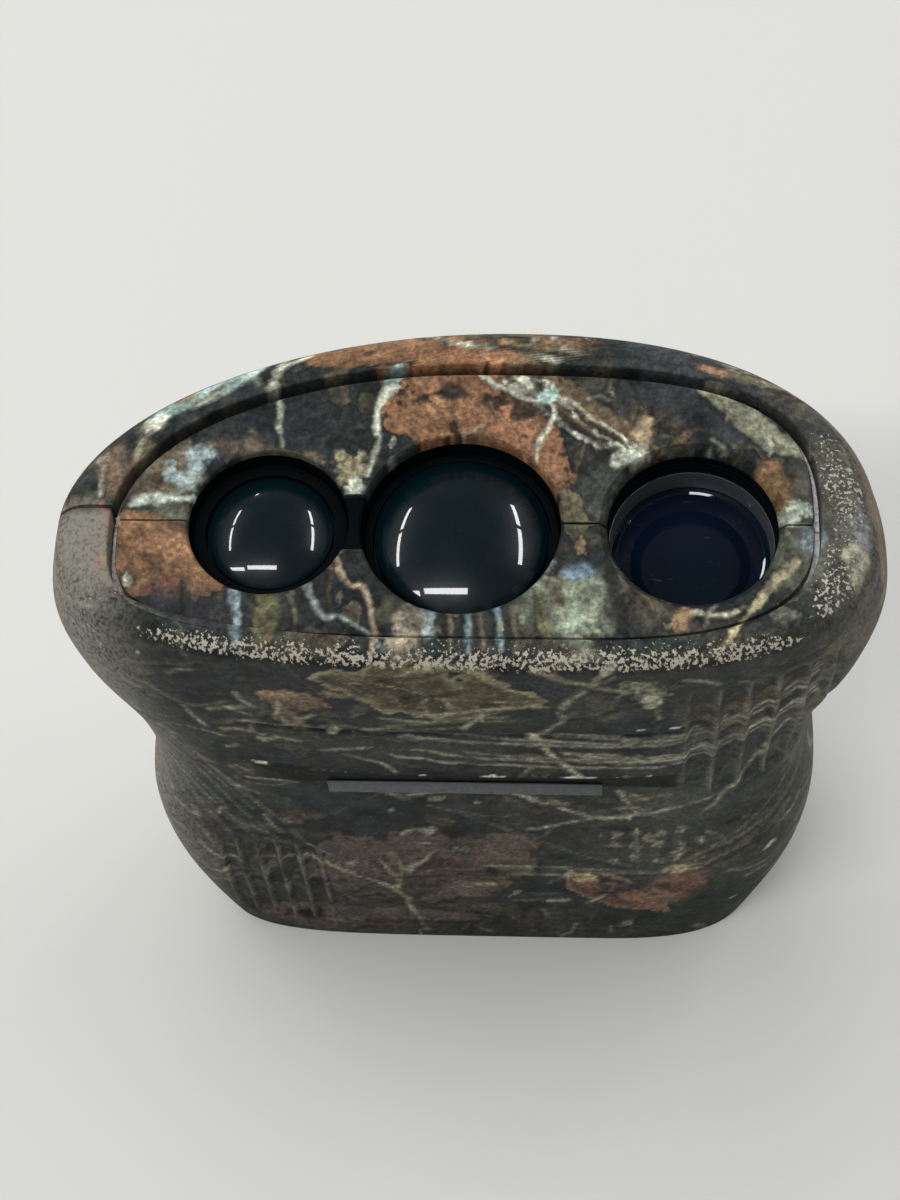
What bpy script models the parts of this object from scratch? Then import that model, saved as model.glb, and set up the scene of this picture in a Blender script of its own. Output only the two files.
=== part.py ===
"""Wide-body laser rangefinder, standing on its rear end with its lenses facing up.

+Z is the way the instrument looks, +X is the viewfinder side, +Y is the arched side with the
buttons and -Y is the flat side. The origin is the middle of the footprint on the floor.
Sizes are millimetres and MM turns them into metres. Every Y is counted from the seam plane,
the plane of the lens axes, which lies at SEAM_Y.
"""
import math

import bmesh
import bpy
import numpy as np
from mathutils import Matrix, Vector

MM = 0.001
GAP = 0.3                 # clearance between neighbouring solids
SEAM_Y = -4.5             # seam plane, from the origin
LENGTH = 108.5            # rear rim to front rim
PLATE_Z = 107.0           # face of the front wall, below the armour's rim
RING_POINTS = 44          # points round one section of the body

# Body sections: height, half width, arch height, flat depth, peak of the flat side,
# squareness of the flat side's left and right corners
STATIONS = np.array([
    (0.0, 46.1, 28.0, 22.2, 13.0, 6.0, 3.6),
    (5.4, 47.6, 28.2, 22.2, 13.0, 6.0, 3.6),
    (21.5, 51.8, 28.5, 21.8, 13.0, 5.3, 3.4),
    (38.0, 52.9, 28.3, 21.2, 13.0, 4.6, 3.2),
    (54.0, 50.5, 28.0, 20.9, 13.0, 4.0, 3.0),
    (69.5, 51.9, 29.0, 21.6, 12.0, 3.7, 2.8),
    (84.0, 57.0, 30.6, 21.5, 12.0, 3.4, 2.6),
    (94.5, 58.5, 31.2, 21.9, 12.0, 3.1, 2.4),
    (104.5, 56.4, 31.2, 22.0, 12.0, 3.1, 2.6),
    (108.5, 55.2, 31.1, 22.0, 12.0, 3.1, 2.8),
])
ARCH = (4.8, 1.94, 2.32)  # peak of the arch, squareness of its left and right shoulders
PLATE = (47.6, 23.85, 17.5, 0.1, 1.96, 3.25, 15.0, 4.3, 2.72)   # outline of the front wall

ARMOUR = 2.0              # rubber sleeve thickness
WALL = 2.2                # case wall thickness
RIM_ROUND = 3.5           # rounding of the front rim
RIM_GAP = 0.7             # rubber rim to front wall
REAR_LIP = 4.0            # width of the rubber lip that the instrument stands on
LIP_TOP = 2.5             # top of that lip
CASE_IN = ARMOUR + GAP
CAVITY_IN = CASE_IN + WALL
CASE_REAR = 5.1
SHOULDER_Z = 104.5
CASE_LEVELS = (CASE_REAR, 20, 36, 50, 64, 78, 92, SHOULDER_Z)
OUTER_LEVELS = (0, 9, 18, 27, 36, 45, 54, 62, 70, 78, 86, 95, 105, 107, 108.1, LENGTH)

# Lens axes along X, all in the seam plane
SEND_X = -26.8            # transmitter
GET_X = -0.4              # receiver
LOOK_X = 31.2             # viewfinder objective
EYE_X = 27.2              # eyepiece, moved over by the prism

SEND_BORE = 11.0
GET_BORE = 13.8
LOOK_BORE = 11.5
COLLAR = 1.1              # collar wall round each bore

BUTTON_Z = 66.0
FIRE_X = 22.0
MODE_X = -2.0
BUTTON_R = 5.2
BUTTON_TRAVEL = 1.0

BATTERY_X = -20.0
BATTERY_Y = -2.5
BATTERY = (26.5, 17.5, 46.4)
DOOR_Z = (0.6, 2.5)
DOOR_Y = (-13.5, 8.0)     # the stretch between the rails
DOOR_HALF = 15.9
COVER_Z = (2.8, 4.8)

REAR_SCREWS = ((20.0, 21.0), (-16.0, 19.8), (4.0, -16.4), (-27.0, -16.6))
FRAME_SCREWS = ((-42.0, 5.0), (16.8, 12.5), (16.6, -11.6), (-13.8, -12.3))
FRAME_Z = (92.2, 94.7)
POST_R = 2.3

LUG_X = -27.0
LUG_Z = 14.0
LUG_LEG = 4.5             # half the distance between the lug's legs


# ---------------------------------------------------------------- scene

def clear_scene():
    for obj in list(bpy.data.objects):
        bpy.data.objects.remove(obj, do_unlink=True)


def new_collection(name):
    collection = bpy.data.collections.new(name)
    bpy.context.scene.collection.children.link(collection)
    return collection


clear_scene()
PARTS = new_collection("laser_rangefinder")
CUTTERS = new_collection("cutters")


def material(name, colour, roughness, metallic=0.0):
    mat = bpy.data.materials.new(name)
    mat.use_nodes = True
    shader = mat.node_tree.nodes["Principled BSDF"]
    shader.inputs["Base Color"].default_value = (*colour, 1.0)
    shader.inputs["Roughness"].default_value = roughness
    shader.inputs["Metallic"].default_value = metallic
    return mat


CAMO = material("camouflage_rubber", (0.12, 0.11, 0.08), 0.75)
CAMO_PLATE = material("camouflage_plastic", (0.14, 0.12, 0.08), 0.55)
BLACK = material("black_plastic", (0.015, 0.016, 0.018), 0.45)
DARK_RUBBER = material("dark_rubber", (0.03, 0.03, 0.03), 0.85)
FILTER = material("filter_glass", (0.01, 0.02, 0.02), 0.05)
GLASS = material("coated_glass", (0.10, 0.10, 0.16), 0.03)
STEEL = material("steel", (0.55, 0.55, 0.56), 0.35, 1.0)
GREY = material("grey_metal", (0.25, 0.26, 0.28), 0.40, 0.8)
BOARD = material("circuit_board", (0.02, 0.16, 0.07), 0.50)
BATTERY_SKIN = material("battery_skin", (0.06, 0.06, 0.07), 0.35, 0.5)
LABEL = material("label_plate", (0.22, 0.23, 0.24), 0.50)


def at(x, y, z):
    """A point, Y counted from the seam plane, in metres."""
    return Vector((x, y + SEAM_Y, z)) * MM


def add_object(name, mesh, mat, cutter=False):
    obj = bpy.data.objects.new(name, mesh)
    (CUTTERS if cutter else PARTS).objects.link(obj)
    if cutter:
        obj.hide_render = True
        obj.display_type = "WIRE"
    elif mat:
        mesh.materials.append(mat)
    return obj


# ---------------------------------------------------------------- shapes

def box(name, mat, low, high, bevel=0.0, cutter=False):
    """A box between two corners, in millimetres from the seam plane."""
    size = [(b - a) * MM for a, b in zip(low, high)]
    middle = at(*[(a + b) / 2 for a, b in zip(low, high)])
    bm = bmesh.new()
    bmesh.ops.create_cube(bm, size=1.0, matrix=Matrix.Diagonal((*size, 1.0)))
    mesh = bpy.data.meshes.new(name)
    bm.to_mesh(mesh)
    bm.free()
    obj = add_object(name, mesh, mat, cutter)
    obj.location = middle
    if bevel:
        add_bevel(obj, bevel)
    return obj


def add_bevel(obj, width, segments=2, angle=40):
    mod = obj.modifiers.new("bevel", "BEVEL")
    mod.width = width * MM
    mod.segments = segments
    mod.limit_method = "ANGLE"
    mod.angle_limit = math.radians(angle)
    return mod


def turned(name, mat, centre, profile, ring=False, steps=32, cutter=False):
    """A turned solid about +Z. The profile is (radius, height) from top to bottom, and a ring's
    profile goes down the outer side and back up the inner side."""
    mesh = bpy.data.meshes.new(name)
    points = [(r * MM, 0.0, z * MM) for r, z in profile]
    edges = [(i, i + 1) for i in range(len(points) - 1)]
    if ring:
        edges.append((len(points) - 1, 0))
    mesh.from_pydata(points, edges, [])
    obj = add_object(name, mesh, mat, cutter)
    obj.location = at(centre[0], centre[1], 0.0)
    mod = obj.modifiers.new("screw", "SCREW")
    mod.axis = "Z"
    mod.steps = steps
    mod.render_steps = steps
    mod.use_merge_vertices = True
    mod.merge_threshold = 0.00001
    mod.use_smooth_shade = True
    return obj


def rod(name, mat, x, y, z_low, z_high, radius, steps=20, cutter=False):
    profile = [(0.0, z_high), (radius, z_high), (radius, z_low), (0.0, z_low)]
    return turned(name, mat, (x, y), profile, steps=steps, cutter=cutter)


def tube(name, mat, x, y, z_low, z_high, outer, inner, steps=32):
    profile = [(outer, z_high), (outer, z_low), (inner, z_low), (inner, z_high)]
    return turned(name, mat, (x, y), profile, ring=True, steps=steps)


def cross_rod(name, mat, x, z, y_low, y_high, radius, steps=20, cutter=False):
    """A rod along Y."""
    obj = rod(name, mat, 0.0, -SEAM_Y, -y_high, -y_low, radius, steps, cutter)
    obj.location = at(x, 0.0, z)
    obj.rotation_euler = (math.pi / 2, 0.0, 0.0)
    return obj


def boolean(target, tool, operation="DIFFERENCE"):
    mod = target.modifiers.new(tool.name, "BOOLEAN")
    mod.operation = operation
    mod.object = tool
    mod.solver = "EXACT"


def join(target, tool):
    """Makes the tool's solid part of the target."""
    boolean(target, tool, "UNION")


def smooth(obj, angle=35):
    obj.data.shade_smooth()
    obj.data.set_sharp_from_angle(angle=math.radians(angle))


# ---------------------------------------------------------------- body outline

def station(z):
    """The section values at a height, on a smooth curve through the stations."""
    heights = STATIONS[:, 0]
    values = STATIONS[:, 1:]
    i = int(np.clip(np.searchsorted(heights, z) - 1, 0, len(heights) - 2))
    slope = np.gradient(values, heights, axis=0)
    step = heights[i + 1] - heights[i]
    t = (z - heights[i]) / step
    return ((2 * t**3 - 3 * t**2 + 1) * values[i] + (t**3 - 2 * t**2 + t) * step * slope[i]
            + (3 * t**2 - 2 * t**3) * values[i + 1] + (t**3 - t**2) * step * slope[i + 1])


def quarter(width, depth, square):
    """A quarter of a superellipse, from (width, 0) to (0, depth), in equal steps."""
    angle = np.linspace(0.0, math.pi / 2, 400)
    x = width * np.cos(angle) ** (2 / square)
    y = depth * np.sin(angle) ** (2 / square)
    run = np.concatenate([[0.0], np.cumsum(np.hypot(np.diff(x), np.diff(y)))])
    want = np.linspace(0.0, run[-1], RING_POINTS // 4 + 1)
    return np.column_stack([np.interp(want, run, x), np.interp(want, run, y)])


def outline(half, arch, flat, peak, p_left, p_right, low_peak, q_left, q_right):
    """A closed outline of four quarters, anticlockwise from its right end."""
    right_up = quarter(half - peak, arch, p_right) + (peak, 0)
    left_up = quarter(half + peak, arch, p_left)[::-1] * (-1, 1) + (peak, 0)
    left_down = quarter(half + low_peak, flat, q_left) * (-1, -1) + (low_peak, 0)
    right_down = quarter(half - low_peak, flat, q_right)[::-1] * (1, -1) + (low_peak, 0)
    return np.concatenate([right_up[:-1], left_up[:-1], left_down[:-1], right_down[:-1]])


def inset(points, distance):
    """The outline moved inwards, along its normals."""
    along = np.roll(points, -1, axis=0) - np.roll(points, 1, axis=0)
    inward = np.column_stack([-along[:, 1], along[:, 0]])
    inward /= np.linalg.norm(inward, axis=1)[:, None]
    return points + inward * distance


def body_outline(z, distance=0.0):
    half, arch, flat, low_peak, q_left, q_right = station(z)
    points = outline(half, arch, flat, *ARCH, low_peak, q_left, q_right)
    climb = max(0.0, (z - (LENGTH - RIM_ROUND)) / RIM_ROUND)
    rounding = RIM_ROUND * (1.0 - math.sqrt(max(0.0, 1.0 - climb * climb)))
    return inset(points, distance + rounding)


def body_ring(z, distance=0.0):
    return (body_outline(z, distance), z)


def plate_ring(z, distance=0.0):
    return (inset(outline(*PLATE), distance), z)


def loft(name, mat, rings, closed=False):
    """A solid skinned over the rings, either closed on itself or capped at both ends."""
    bm = bmesh.new()
    rows = [[bm.verts.new(at(x, y, z)) for x, y in points] for points, z in rings]
    pairs = list(zip(rows, rows[1:]))
    if closed:
        pairs.append((rows[-1], rows[0]))
    count = len(rows[0])
    for low, high in pairs:
        for j in range(count):
            k = (j + 1) % count
            bm.faces.new((low[j], low[k], high[k], high[j]))
    if not closed:
        bm.faces.new(rows[0])
        bm.faces.new(rows[-1])
    bmesh.ops.recalc_face_normals(bm, faces=bm.faces)
    bmesh.ops.triangulate(bm, faces=bm.faces)
    mesh = bpy.data.meshes.new(name)
    bm.to_mesh(mesh)
    bm.free()
    obj = add_object(name, mesh, mat)
    smooth(obj)
    return obj


# ---------------------------------------------------------------- armour

def armour_sleeve():
    """One rubber sleeve, wrapped round the case and parted at the left end."""
    rings = [body_ring(z) for z in OUTER_LEVELS]
    rings += [plate_ring(z, -RIM_GAP) for z in (LENGTH, SHOULDER_Z + GAP)]
    rings += [body_ring(SHOULDER_Z + GAP, ARMOUR)]
    rings += [body_ring(z, ARMOUR) for z in reversed(CASE_LEVELS)]
    rings += [body_ring(LIP_TOP, ARMOUR), body_ring(LIP_TOP, REAR_LIP), body_ring(0.0, REAR_LIP)]
    sleeve = loft("armour_sleeve", CAMO, rings, closed=True)
    boolean(sleeve, box("sleeve_slit", None, (-70, 1.0, -2), (-38, 1.55, 112), cutter=True))
    notch_half = DOOR_HALF + GAP
    boolean(sleeve, box("door_notch", None, (BATTERY_X - notch_half, 5.0, -2),
                        (BATTERY_X + notch_half, 40.0, LIP_TOP + 0.25), cutter=True))
    boolean(sleeve, label_recess())
    for name, x in (("fire", FIRE_X), ("mode", MODE_X)):
        boolean(sleeve, cross_rod(name + "_sleeve_hole", None, x, BUTTON_Z, 15, 40,
                                  BUTTON_R + 0.5, cutter=True))
    cut_lug_holes(sleeve, "sleeve")


def label_recess():
    """A wedge that sinks the flat side below its lip and runs out towards the rear."""
    top, bottom, half, middle = 69.4, 34.0, 31.7, -1.1
    deep, shallow = -20.1, -22.6
    bm = bmesh.new()
    section = ((top, -30.0), (top, deep), (bottom, shallow), (bottom, -30.0))
    rows = [[bm.verts.new(at(middle + side * half, y, z)) for z, y in section]
            for side in (-1, 1)]
    for j in range(4):
        k = (j + 1) % 4
        bm.faces.new((rows[0][j], rows[0][k], rows[1][k], rows[1][j]))
    bm.faces.new(rows[0])
    bm.faces.new(rows[1])
    bmesh.ops.recalc_face_normals(bm, faces=bm.faces)
    mesh = bpy.data.meshes.new("label_recess")
    bm.to_mesh(mesh)
    bm.free()
    return add_object("label_recess", mesh, None, cutter=True)


def nameplate():
    """A blank strip under the lip of the flat side."""
    box("nameplate", LABEL, (-21.5, -21.45, 61.2), (19.3, -21.0, 64.8), bevel=0.12)


# ---------------------------------------------------------------- case

def opening_cutter(name, x, edge, hole, depth, collar):
    """The hole of one lens in the front wall: a chamfered lip and a recess for the collar."""
    slope = (edge - hole) / depth
    lip = PLATE_Z - depth
    profile = [(0.0, PLATE_Z + 0.5), (edge + 0.5 * slope, PLATE_Z + 0.5), (hole, lip),
               (hole, lip - 0.2), (collar, lip - 0.2), (collar, SHOULDER_Z - 1.0),
               (0.0, SHOULDER_Z - 1.0)]
    return turned(name, None, (x, 0.0), profile, steps=32, cutter=True)


def front_openings():
    send = opening_cutter("send_opening", SEND_X, 11.4, 11.05, 0.4, SEND_BORE + COLLAR + GAP)
    get = opening_cutter("get_opening", GET_X, 14.05, 13.75, 0.4, GET_BORE + COLLAR + GAP)
    look = opening_cutter("look_opening", LOOK_X, 12.7, 11.65, 1.3, LOOK_BORE + COLLAR + GAP)
    web = box("web_opening", None, (-18.0, -4.3, SHOULDER_Z - 1.0), (-12.4, 4.3, PLATE_Z + 0.5),
              cutter=True)
    return (send, get, look, web)


def case_cup(name, mat):
    """The whole case shell, before it is parted at the seam."""
    front_in = PLATE_Z - 2.3
    rings = [plate_ring(PLATE_Z), plate_ring(SHOULDER_Z)]
    rings += [body_ring(z, CASE_IN) for z in reversed(CASE_LEVELS)]
    rings += [body_ring(z, CAVITY_IN) for z in CASE_LEVELS[:-1]]
    rings += [body_ring(SHOULDER_Z - WALL, CAVITY_IN)]
    rings += [plate_ring(SHOULDER_Z - WALL, WALL), plate_ring(front_in, WALL)]
    return loft(name, mat, rings)


def half_space(name, side):
    low, high = ((-60.0, 0.15) if side < 0 else (-0.15, 60.0))
    return box(name, None, (-80, low, -10), (80, high, 130), cutter=True)


def screw_posts(case, keeps):
    """The posts for the cover's and the frame's screws, and then their pilot holes."""
    rear = [("rear_post", i, x, y, CASE_REAR + 0.25, 11.0, 4.0, 10.0)
            for i, (x, y) in enumerate(REAR_SCREWS, 1)]
    front = [("frame_post", i, x, y, FRAME_Z[1] + GAP, 105.6, 94.0, 101.5)
             for i, (x, y) in enumerate(FRAME_SCREWS, 1)]
    posts = [entry for entry in rear + front if keeps(entry[3])]
    for name, i, x, y, z_low, z_high, _, _ in posts:
        join(case, rod(f"{name}_{i}", None, x, y, z_low, z_high, POST_R, 20, cutter=True))
    for name, i, x, y, _, _, z_low, z_high in posts:
        boolean(case, rod(f"{name}_pilot_{i}", None, x, y, z_low, z_high, 1.3, 12, cutter=True))


def case_half(name, cut_away, keeps):
    """One half of the case. `keeps` tells which Y belongs to this half."""
    case = case_cup(name, CAMO_PLATE)
    boolean(case, cut_away)
    for tool in OPENINGS:
        boolean(case, tool)
    screw_posts(case, keeps)
    return case


def cases():
    upper = case_half("upper_case", half_space("below_seam", -1), lambda y: y > 0)
    for name, x in (("fire", FIRE_X), ("mode", MODE_X)):
        boolean(upper, cross_rod(name + "_case_hole", None, x, BUTTON_Z, 10, 40,
                                 BUTTON_R + 0.35, cutter=True))
    cut_lug_holes(upper, "case")
    case_half("lower_case", half_space("above_seam", 1), lambda y: y < 0)


def rear_cover():
    """The rear wall, with the eyepiece hole, the battery opening and the door's rails."""
    low, high = COVER_Z
    cover = loft("rear_cover", BLACK, [body_ring(low, CASE_IN), body_ring(high, CASE_IN)])
    boolean(cover, rod("eyepiece_hole", None, EYE_X, 0.0, 0, 9, 13.3, 40, cutter=True))
    boolean(cover, box("battery_hole", None, (BATTERY_X - 13.8, BATTERY_Y - 9.2, 0),
                       (BATTERY_X + 13.8, BATTERY_Y + 9.2, 9), cutter=True))
    for i, (x, y) in enumerate(REAR_SCREWS, 1):
        profile = [(0, 9), (1.3, 9), (1.3, 4.3), (2.2, 4.3), (2.2, 2), (0, 2)]
        boolean(cover, turned(f"cover_screw_hole_{i}", None, (x, y), profile, steps=16,
                              cutter=True))
    for side in (-1, 1):
        join(cover, door_rail(side))


def door_rail(side):
    """A rail whose hook holds the door's edge."""
    name = "rail_left" if side < 0 else "rail_right"
    inner, outer, hook = DOOR_HALF + GAP, 17.7, 14.8
    section = ((inner, 3.4), (outer, 3.4), (outer, 0.7), (hook, 0.7), (hook, 1.1), (inner, 1.1))
    bm = bmesh.new()
    rows = [[bm.verts.new(at(BATTERY_X + side * x, y, z)) for x, z in section] for y in DOOR_Y]
    for j in range(len(section)):
        k = (j + 1) % len(section)
        bm.faces.new((rows[0][j], rows[0][k], rows[1][k], rows[1][j]))
    bm.faces.new(rows[0])
    bm.faces.new(rows[1])
    bmesh.ops.recalc_face_normals(bm, faces=bm.faces)
    mesh = bpy.data.meshes.new(name)
    bm.to_mesh(mesh)
    bm.free()
    return add_object(name, mesh, None, cutter=True)


def screws():
    for i, (x, y) in enumerate(REAR_SCREWS, 1):
        profile = [(0, 9.4), (0.9, 9.4), (0.9, 4.0), (1.9, 4.0), (1.9, 2.9), (0, 2.9)]
        turned(f"rear_cover_screw_{i}", STEEL, (x, y), profile, steps=12)
    for i, (x, y) in enumerate(FRAME_SCREWS, 1):
        top = FRAME_Z[1] + 6.0
        head = FRAME_Z[0] - GAP
        profile = [(0, top), (0.9, top), (0.9, head), (1.9, head), (1.9, head - 1.2),
                   (0, head - 1.2)]
        turned(f"frame_screw_{i}", STEEL, (x, y), profile, steps=12)


# ---------------------------------------------------------------- optics

def lens_bezel():
    """The black moulding of the transmitter and the receiver, joined by a thin web."""
    top, floor, back = 106.1, 98.0, 95.0
    send = SEND_BORE + COLLAR
    bezel = turned("lens_bezel", BLACK, (SEND_X, 0), [(0, top), (send, top), (send, back),
                                                      (0, back)], steps=32)
    get = GET_BORE + COLLAR
    profile = [(0, top), (get, top), (get, back), (0, back)]
    join(bezel, turned("bezel_get", None, (GET_X, 0), profile, steps=32, cutter=True))
    join(bezel, box("bezel_web", None, (-18.4, -3.95, back), (-12.0, 3.95, top), cutter=True))
    for name, x, bore, stop in (("send", SEND_X, SEND_BORE, 9.0), ("get", GET_X, GET_BORE, 11.8)):
        profile = [(0, top + 1), (bore, top + 1), (bore, floor), (stop, floor),
                   (stop, back - 1), (0, back - 1)]
        boolean(bezel, turned(f"bezel_{name}_bore", None, (x, 0), profile, steps=32, cutter=True))


def dome_profile(crown, face_radius, ball, flange, flange_z, back_z):
    """A lens with a dome on its front, a flange and a flat back."""
    dip = ball - math.sqrt(ball**2 - face_radius**2)
    rim = crown - dip
    points = []
    for i in range(5):
        r = face_radius * i / 4
        points.append((r, crown - (ball - math.sqrt(ball**2 - r**2))))
    points[0] = (0.0, crown)
    return points + [(face_radius, rim - 0.4), (face_radius, flange_z), (flange, flange_z),
                     (flange, back_z), (0.0, back_z)]


def front_lenses():
    turned("transmitter_lens", FILTER, (SEND_X, 0),
           dome_profile(106.6, 8.7, 14.0, 10.6, 102.6, 98.4))
    tube("transmitter_retainer", BLACK, SEND_X, 0, 102.9, 103.9, SEND_BORE - GAP, 9.0)
    turned("receiver_lens", FILTER, (GET_X, 0),
           dome_profile(106.6, 12.0, 21.0, 13.4, 101.2, 98.4), steps=36)
    tube("receiver_retainer", BLACK, GET_X, 0, 101.5, 102.5, GET_BORE - GAP, 12.3, steps=36)


def objective():
    top, seat, back = 105.2, 96.0, 62.0
    outer = LOOK_BORE + COLLAR
    profile = [(outer, top), (outer, 89.0), (11.5, back), (9.6, back), (10.0, seat),
               (LOOK_BORE, seat), (LOOK_BORE, top)]
    turned("objective_barrel", BLACK, (LOOK_X, 0), profile, ring=True, steps=36)
    points = []
    ball = 52.9
    for i in range(4):
        r = 11.2 * i / 3
        points.append((r, 99.9 - (ball - math.sqrt(ball**2 - r**2))))
    back_face = [(r, 195.0 - z) for r, z in reversed(points)]
    turned("objective_lens", GLASS, (LOOK_X, 0), points + back_face, steps=36)
    tube("objective_retainer", GREY, LOOK_X, 0, 99.2, 100.1, 11.2, 10.5, steps=36)


def optics_frame():
    low, high = FRAME_Z
    frame = loft("optics_frame", GREY, [plate_ring(low, 2.5), plate_ring(high, 2.5)])
    holes = (("send", SEND_X, 9.5), ("get", GET_X, 12.2), ("look", LOOK_X, LOOK_BORE + COLLAR
                                                           + GAP))
    for name, x, radius in holes:
        boolean(frame, rod(f"frame_{name}", None, x, 0, low - 2, high + 2, radius, 32,
                           cutter=True))
    for i, (x, y) in enumerate(FRAME_SCREWS, 1):
        boolean(frame, rod(f"frame_screw_hole_{i}", None, x, y, low - 2, high + 2, 1.3, 16,
                           cutter=True))


def light_tube(name, x, wide, narrow, top, bottom):
    """A cone that carries the light between a lens and its board."""
    wall = 1.0
    profile = [(wide, top), (wide, top - 1.5), (wide - 1.2, top - 1.5), (narrow, bottom),
               (narrow - wall, bottom), (wide - 1.2 - wall, top)]
    turned(name, BLACK, (x, 0), profile, ring=True)


def laser_units():
    top = FRAME_Z[0] - GAP
    light_tube("transmitter_tube", SEND_X, 10.6, 5.0, top, 68.0)
    light_tube("receiver_tube", GET_X, 13.0, 6.2, top, 66.0)
    box("laser_board", BOARD, (SEND_X - 8, -7, 63.5), (SEND_X + 8, 7, 65.1))
    rod("laser_diode", GREY, SEND_X, 0, 65.4, 70.5, 2.8)
    box("detector_board", BOARD, (GET_X - 10, -8, 61.5), (GET_X + 10, 8, 63.1))
    rod("receiver_detector", GREY, GET_X, 0, 63.4, 68.0, 4.1)


def viewfinder():
    housing = box("prism_housing", BLACK, (17, -10.5, 34), (41.5, 10.5, 60))
    boolean(housing, box("prism_room", None, (18.5, -9, 35.5), (40, 9, 58.5), cutter=True))
    boolean(housing, rod("prism_front", None, LOOK_X - 1.5, 0, 57, 63, 8.0, 32, cutter=True))
    boolean(housing, rod("prism_rear", None, EYE_X, 0, 30, 37, 8.0, 32, cutter=True))
    box("prism", GLASS, (18.9, -8.6, 36), (39.6, 8.6, 58), bevel=0.5)
    box("display_panel", GREY, (EYE_X - 9, -7, 31.6), (EYE_X + 9, 7, 32.8))
    tube("eyepiece_tube", BLACK, EYE_X, 0, 3.1, 30.0, 10.9, 9.6)
    lens(name="eye_lens", x=EYE_X, middle=8.0, radius=9.3, edge=1.6, ball=22.0)
    lens(name="field_lens", x=EYE_X, middle=24.0, radius=9.3, edge=1.4, ball=30.0)


def lens(name, x, middle, radius, edge, ball):
    """A lens that bulges on both faces."""
    face = []
    drop = ball - math.sqrt(ball**2 - radius**2)
    for i in range(4):
        r = radius * i / 3
        face.append((r, edge / 2 + drop - (ball - math.sqrt(ball**2 - r**2))))
    profile = [(r, middle + h) for r, h in face] + [(r, middle - h) for r, h in reversed(face)]
    turned(name, GLASS, (x, 0), profile, steps=28)


def eyepiece_rear():
    """The rubber eyecup and the dioptre ring, which turns about the eyepiece."""
    profile = [(10.9, 2.8), (10.9, 1.0), (10.4, 0.6), (9.0, 0.6), (8.2, 1.2), (8.0, 2.8)]
    turned("eyecup", DARK_RUBBER, (EYE_X, 0), profile, ring=True)
    profile = [(14.0, 6.6), (14.0, 5.1), (13.0, 5.1), (13.0, 1.2), (12.7, 0.9), (11.5, 0.9),
               (11.2, 1.2), (11.2, 6.6)]
    ring = turned("dioptre_ring", BLACK, (EYE_X, 0), profile, ring=True, steps=36)
    join(ring, box("dioptre_mark", None, (EYE_X - 0.6, 11.7, 0.55), (EYE_X + 0.6, 12.7, 1.5),
                   cutter=True))


# ---------------------------------------------------------------- electronics

def boards():
    box("main_board", BOARD, (-32, 10.5, 12), (12, 12.1, 57))
    box("processor", BLACK, (-8, 12.4, 36), (4, 14.0, 48), bevel=0.2)
    cap = rod("charge_capacitor", BATTERY_SKIN, 0, -SEAM_Y, -8, 8, 4.0)
    cap.location = at(-6.0, 16.5, 24.0)
    cap.rotation_euler = (0.0, math.pi / 2, 0.0)
    box("button_board", BOARD, (-10, 13.0, 58.5), (30, 14.2, 75))
    for name, x in (("fire_switch", FIRE_X), ("mode_switch", MODE_X)):
        box(name, BLACK, (x - 3, 14.5, BUTTON_Z - 3), (x + 3, 17.7, BUTTON_Z + 3), bevel=0.3)


def button(name, x, top):
    """A key on its own origin, so that it travels along Y."""
    profile = [(0, -19.0), (6.0, -19.0), (6.0, -20.0), (BUTTON_R, -20.0), (BUTTON_R, 0.6 - top),
               (BUTTON_R - 0.6, -top), (0, -top)]
    obj = turned(name, DARK_RUBBER, (0, -SEAM_Y), profile, steps=32)
    obj.location = at(x, 0.0, BUTTON_Z)
    obj.rotation_euler = (math.pi / 2, 0.0, 0.0)


def buttons():
    button("fire_button", FIRE_X, 29.4)
    button("mode_button", MODE_X, 29.9)


# ---------------------------------------------------------------- battery

def battery_parts():
    wide, deep, tall = BATTERY
    room = 0.45
    wall = 1.2
    half_x = wide / 2 + room
    half_y = deep / 2 + room
    tray = box("battery_tray", BLACK, (BATTERY_X - half_x - wall, BATTERY_Y - half_y - wall,
                                       CASE_REAR),
               (BATTERY_X + half_x + wall, BATTERY_Y + half_y + wall, 59.0))
    boolean(tray, box("tray_room", None, (BATTERY_X - half_x, BATTERY_Y - half_y, 0),
                      (BATTERY_X + half_x, BATTERY_Y + half_y, 57.4), cutter=True))
    low = 5.4
    battery = box("battery", BATTERY_SKIN, (BATTERY_X - wide / 2, BATTERY_Y - deep / 2, low),
                  (BATTERY_X + wide / 2, BATTERY_Y + deep / 2, low + tall))
    for name, side, radius in (("plus", -1, 2.9), ("minus", 1, 3.4)):
        join(battery, rod(f"battery_{name}", None, BATTERY_X + side * 6.35, BATTERY_Y, low + tall
                          - 1, low + tall + 2.1, radius, 20, cutter=True))
    box("battery_contacts", BLACK, (BATTERY_X - 12.5, BATTERY_Y - 7, 54.3),
        (BATTERY_X + 12.5, BATTERY_Y + 7, 57.0), bevel=0.3)


def battery_door():
    """The door slides off along +Y, held by the rails of the rear cover. Past the rails it is
    wider, and its end closes the notch of the sleeve."""
    low, high = DOOR_Z
    door = loft("battery_door", BLACK, [body_ring(low, 0.2), body_ring(high, 0.2)])
    keep = box("door_plan", None, (BATTERY_X - DOOR_HALF, DOOR_Y[0], -5),
               (BATTERY_X + DOOR_HALF, 50.0, 9), cutter=True)
    boolean(door, keep, "INTERSECT")
    for side in (-1, 1):
        inner, outer = sorted((BATTERY_X + side * 14.3, BATTERY_X + side * 20.0))
        boolean(door, box(f"door_step_{side + 1}", None, (inner, -20.0, -4),
                          (outer, DOOR_Y[1] + GAP, 1.4), cutter=True))
    for i in range(3):
        y = 9.0 + 2.2 * i
        boolean(door, box(f"thumb_groove_{i}", None, (BATTERY_X - 7, y, -3),
                          (BATTERY_X + 7, y + 1.1, low + 0.5), cutter=True))


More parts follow.
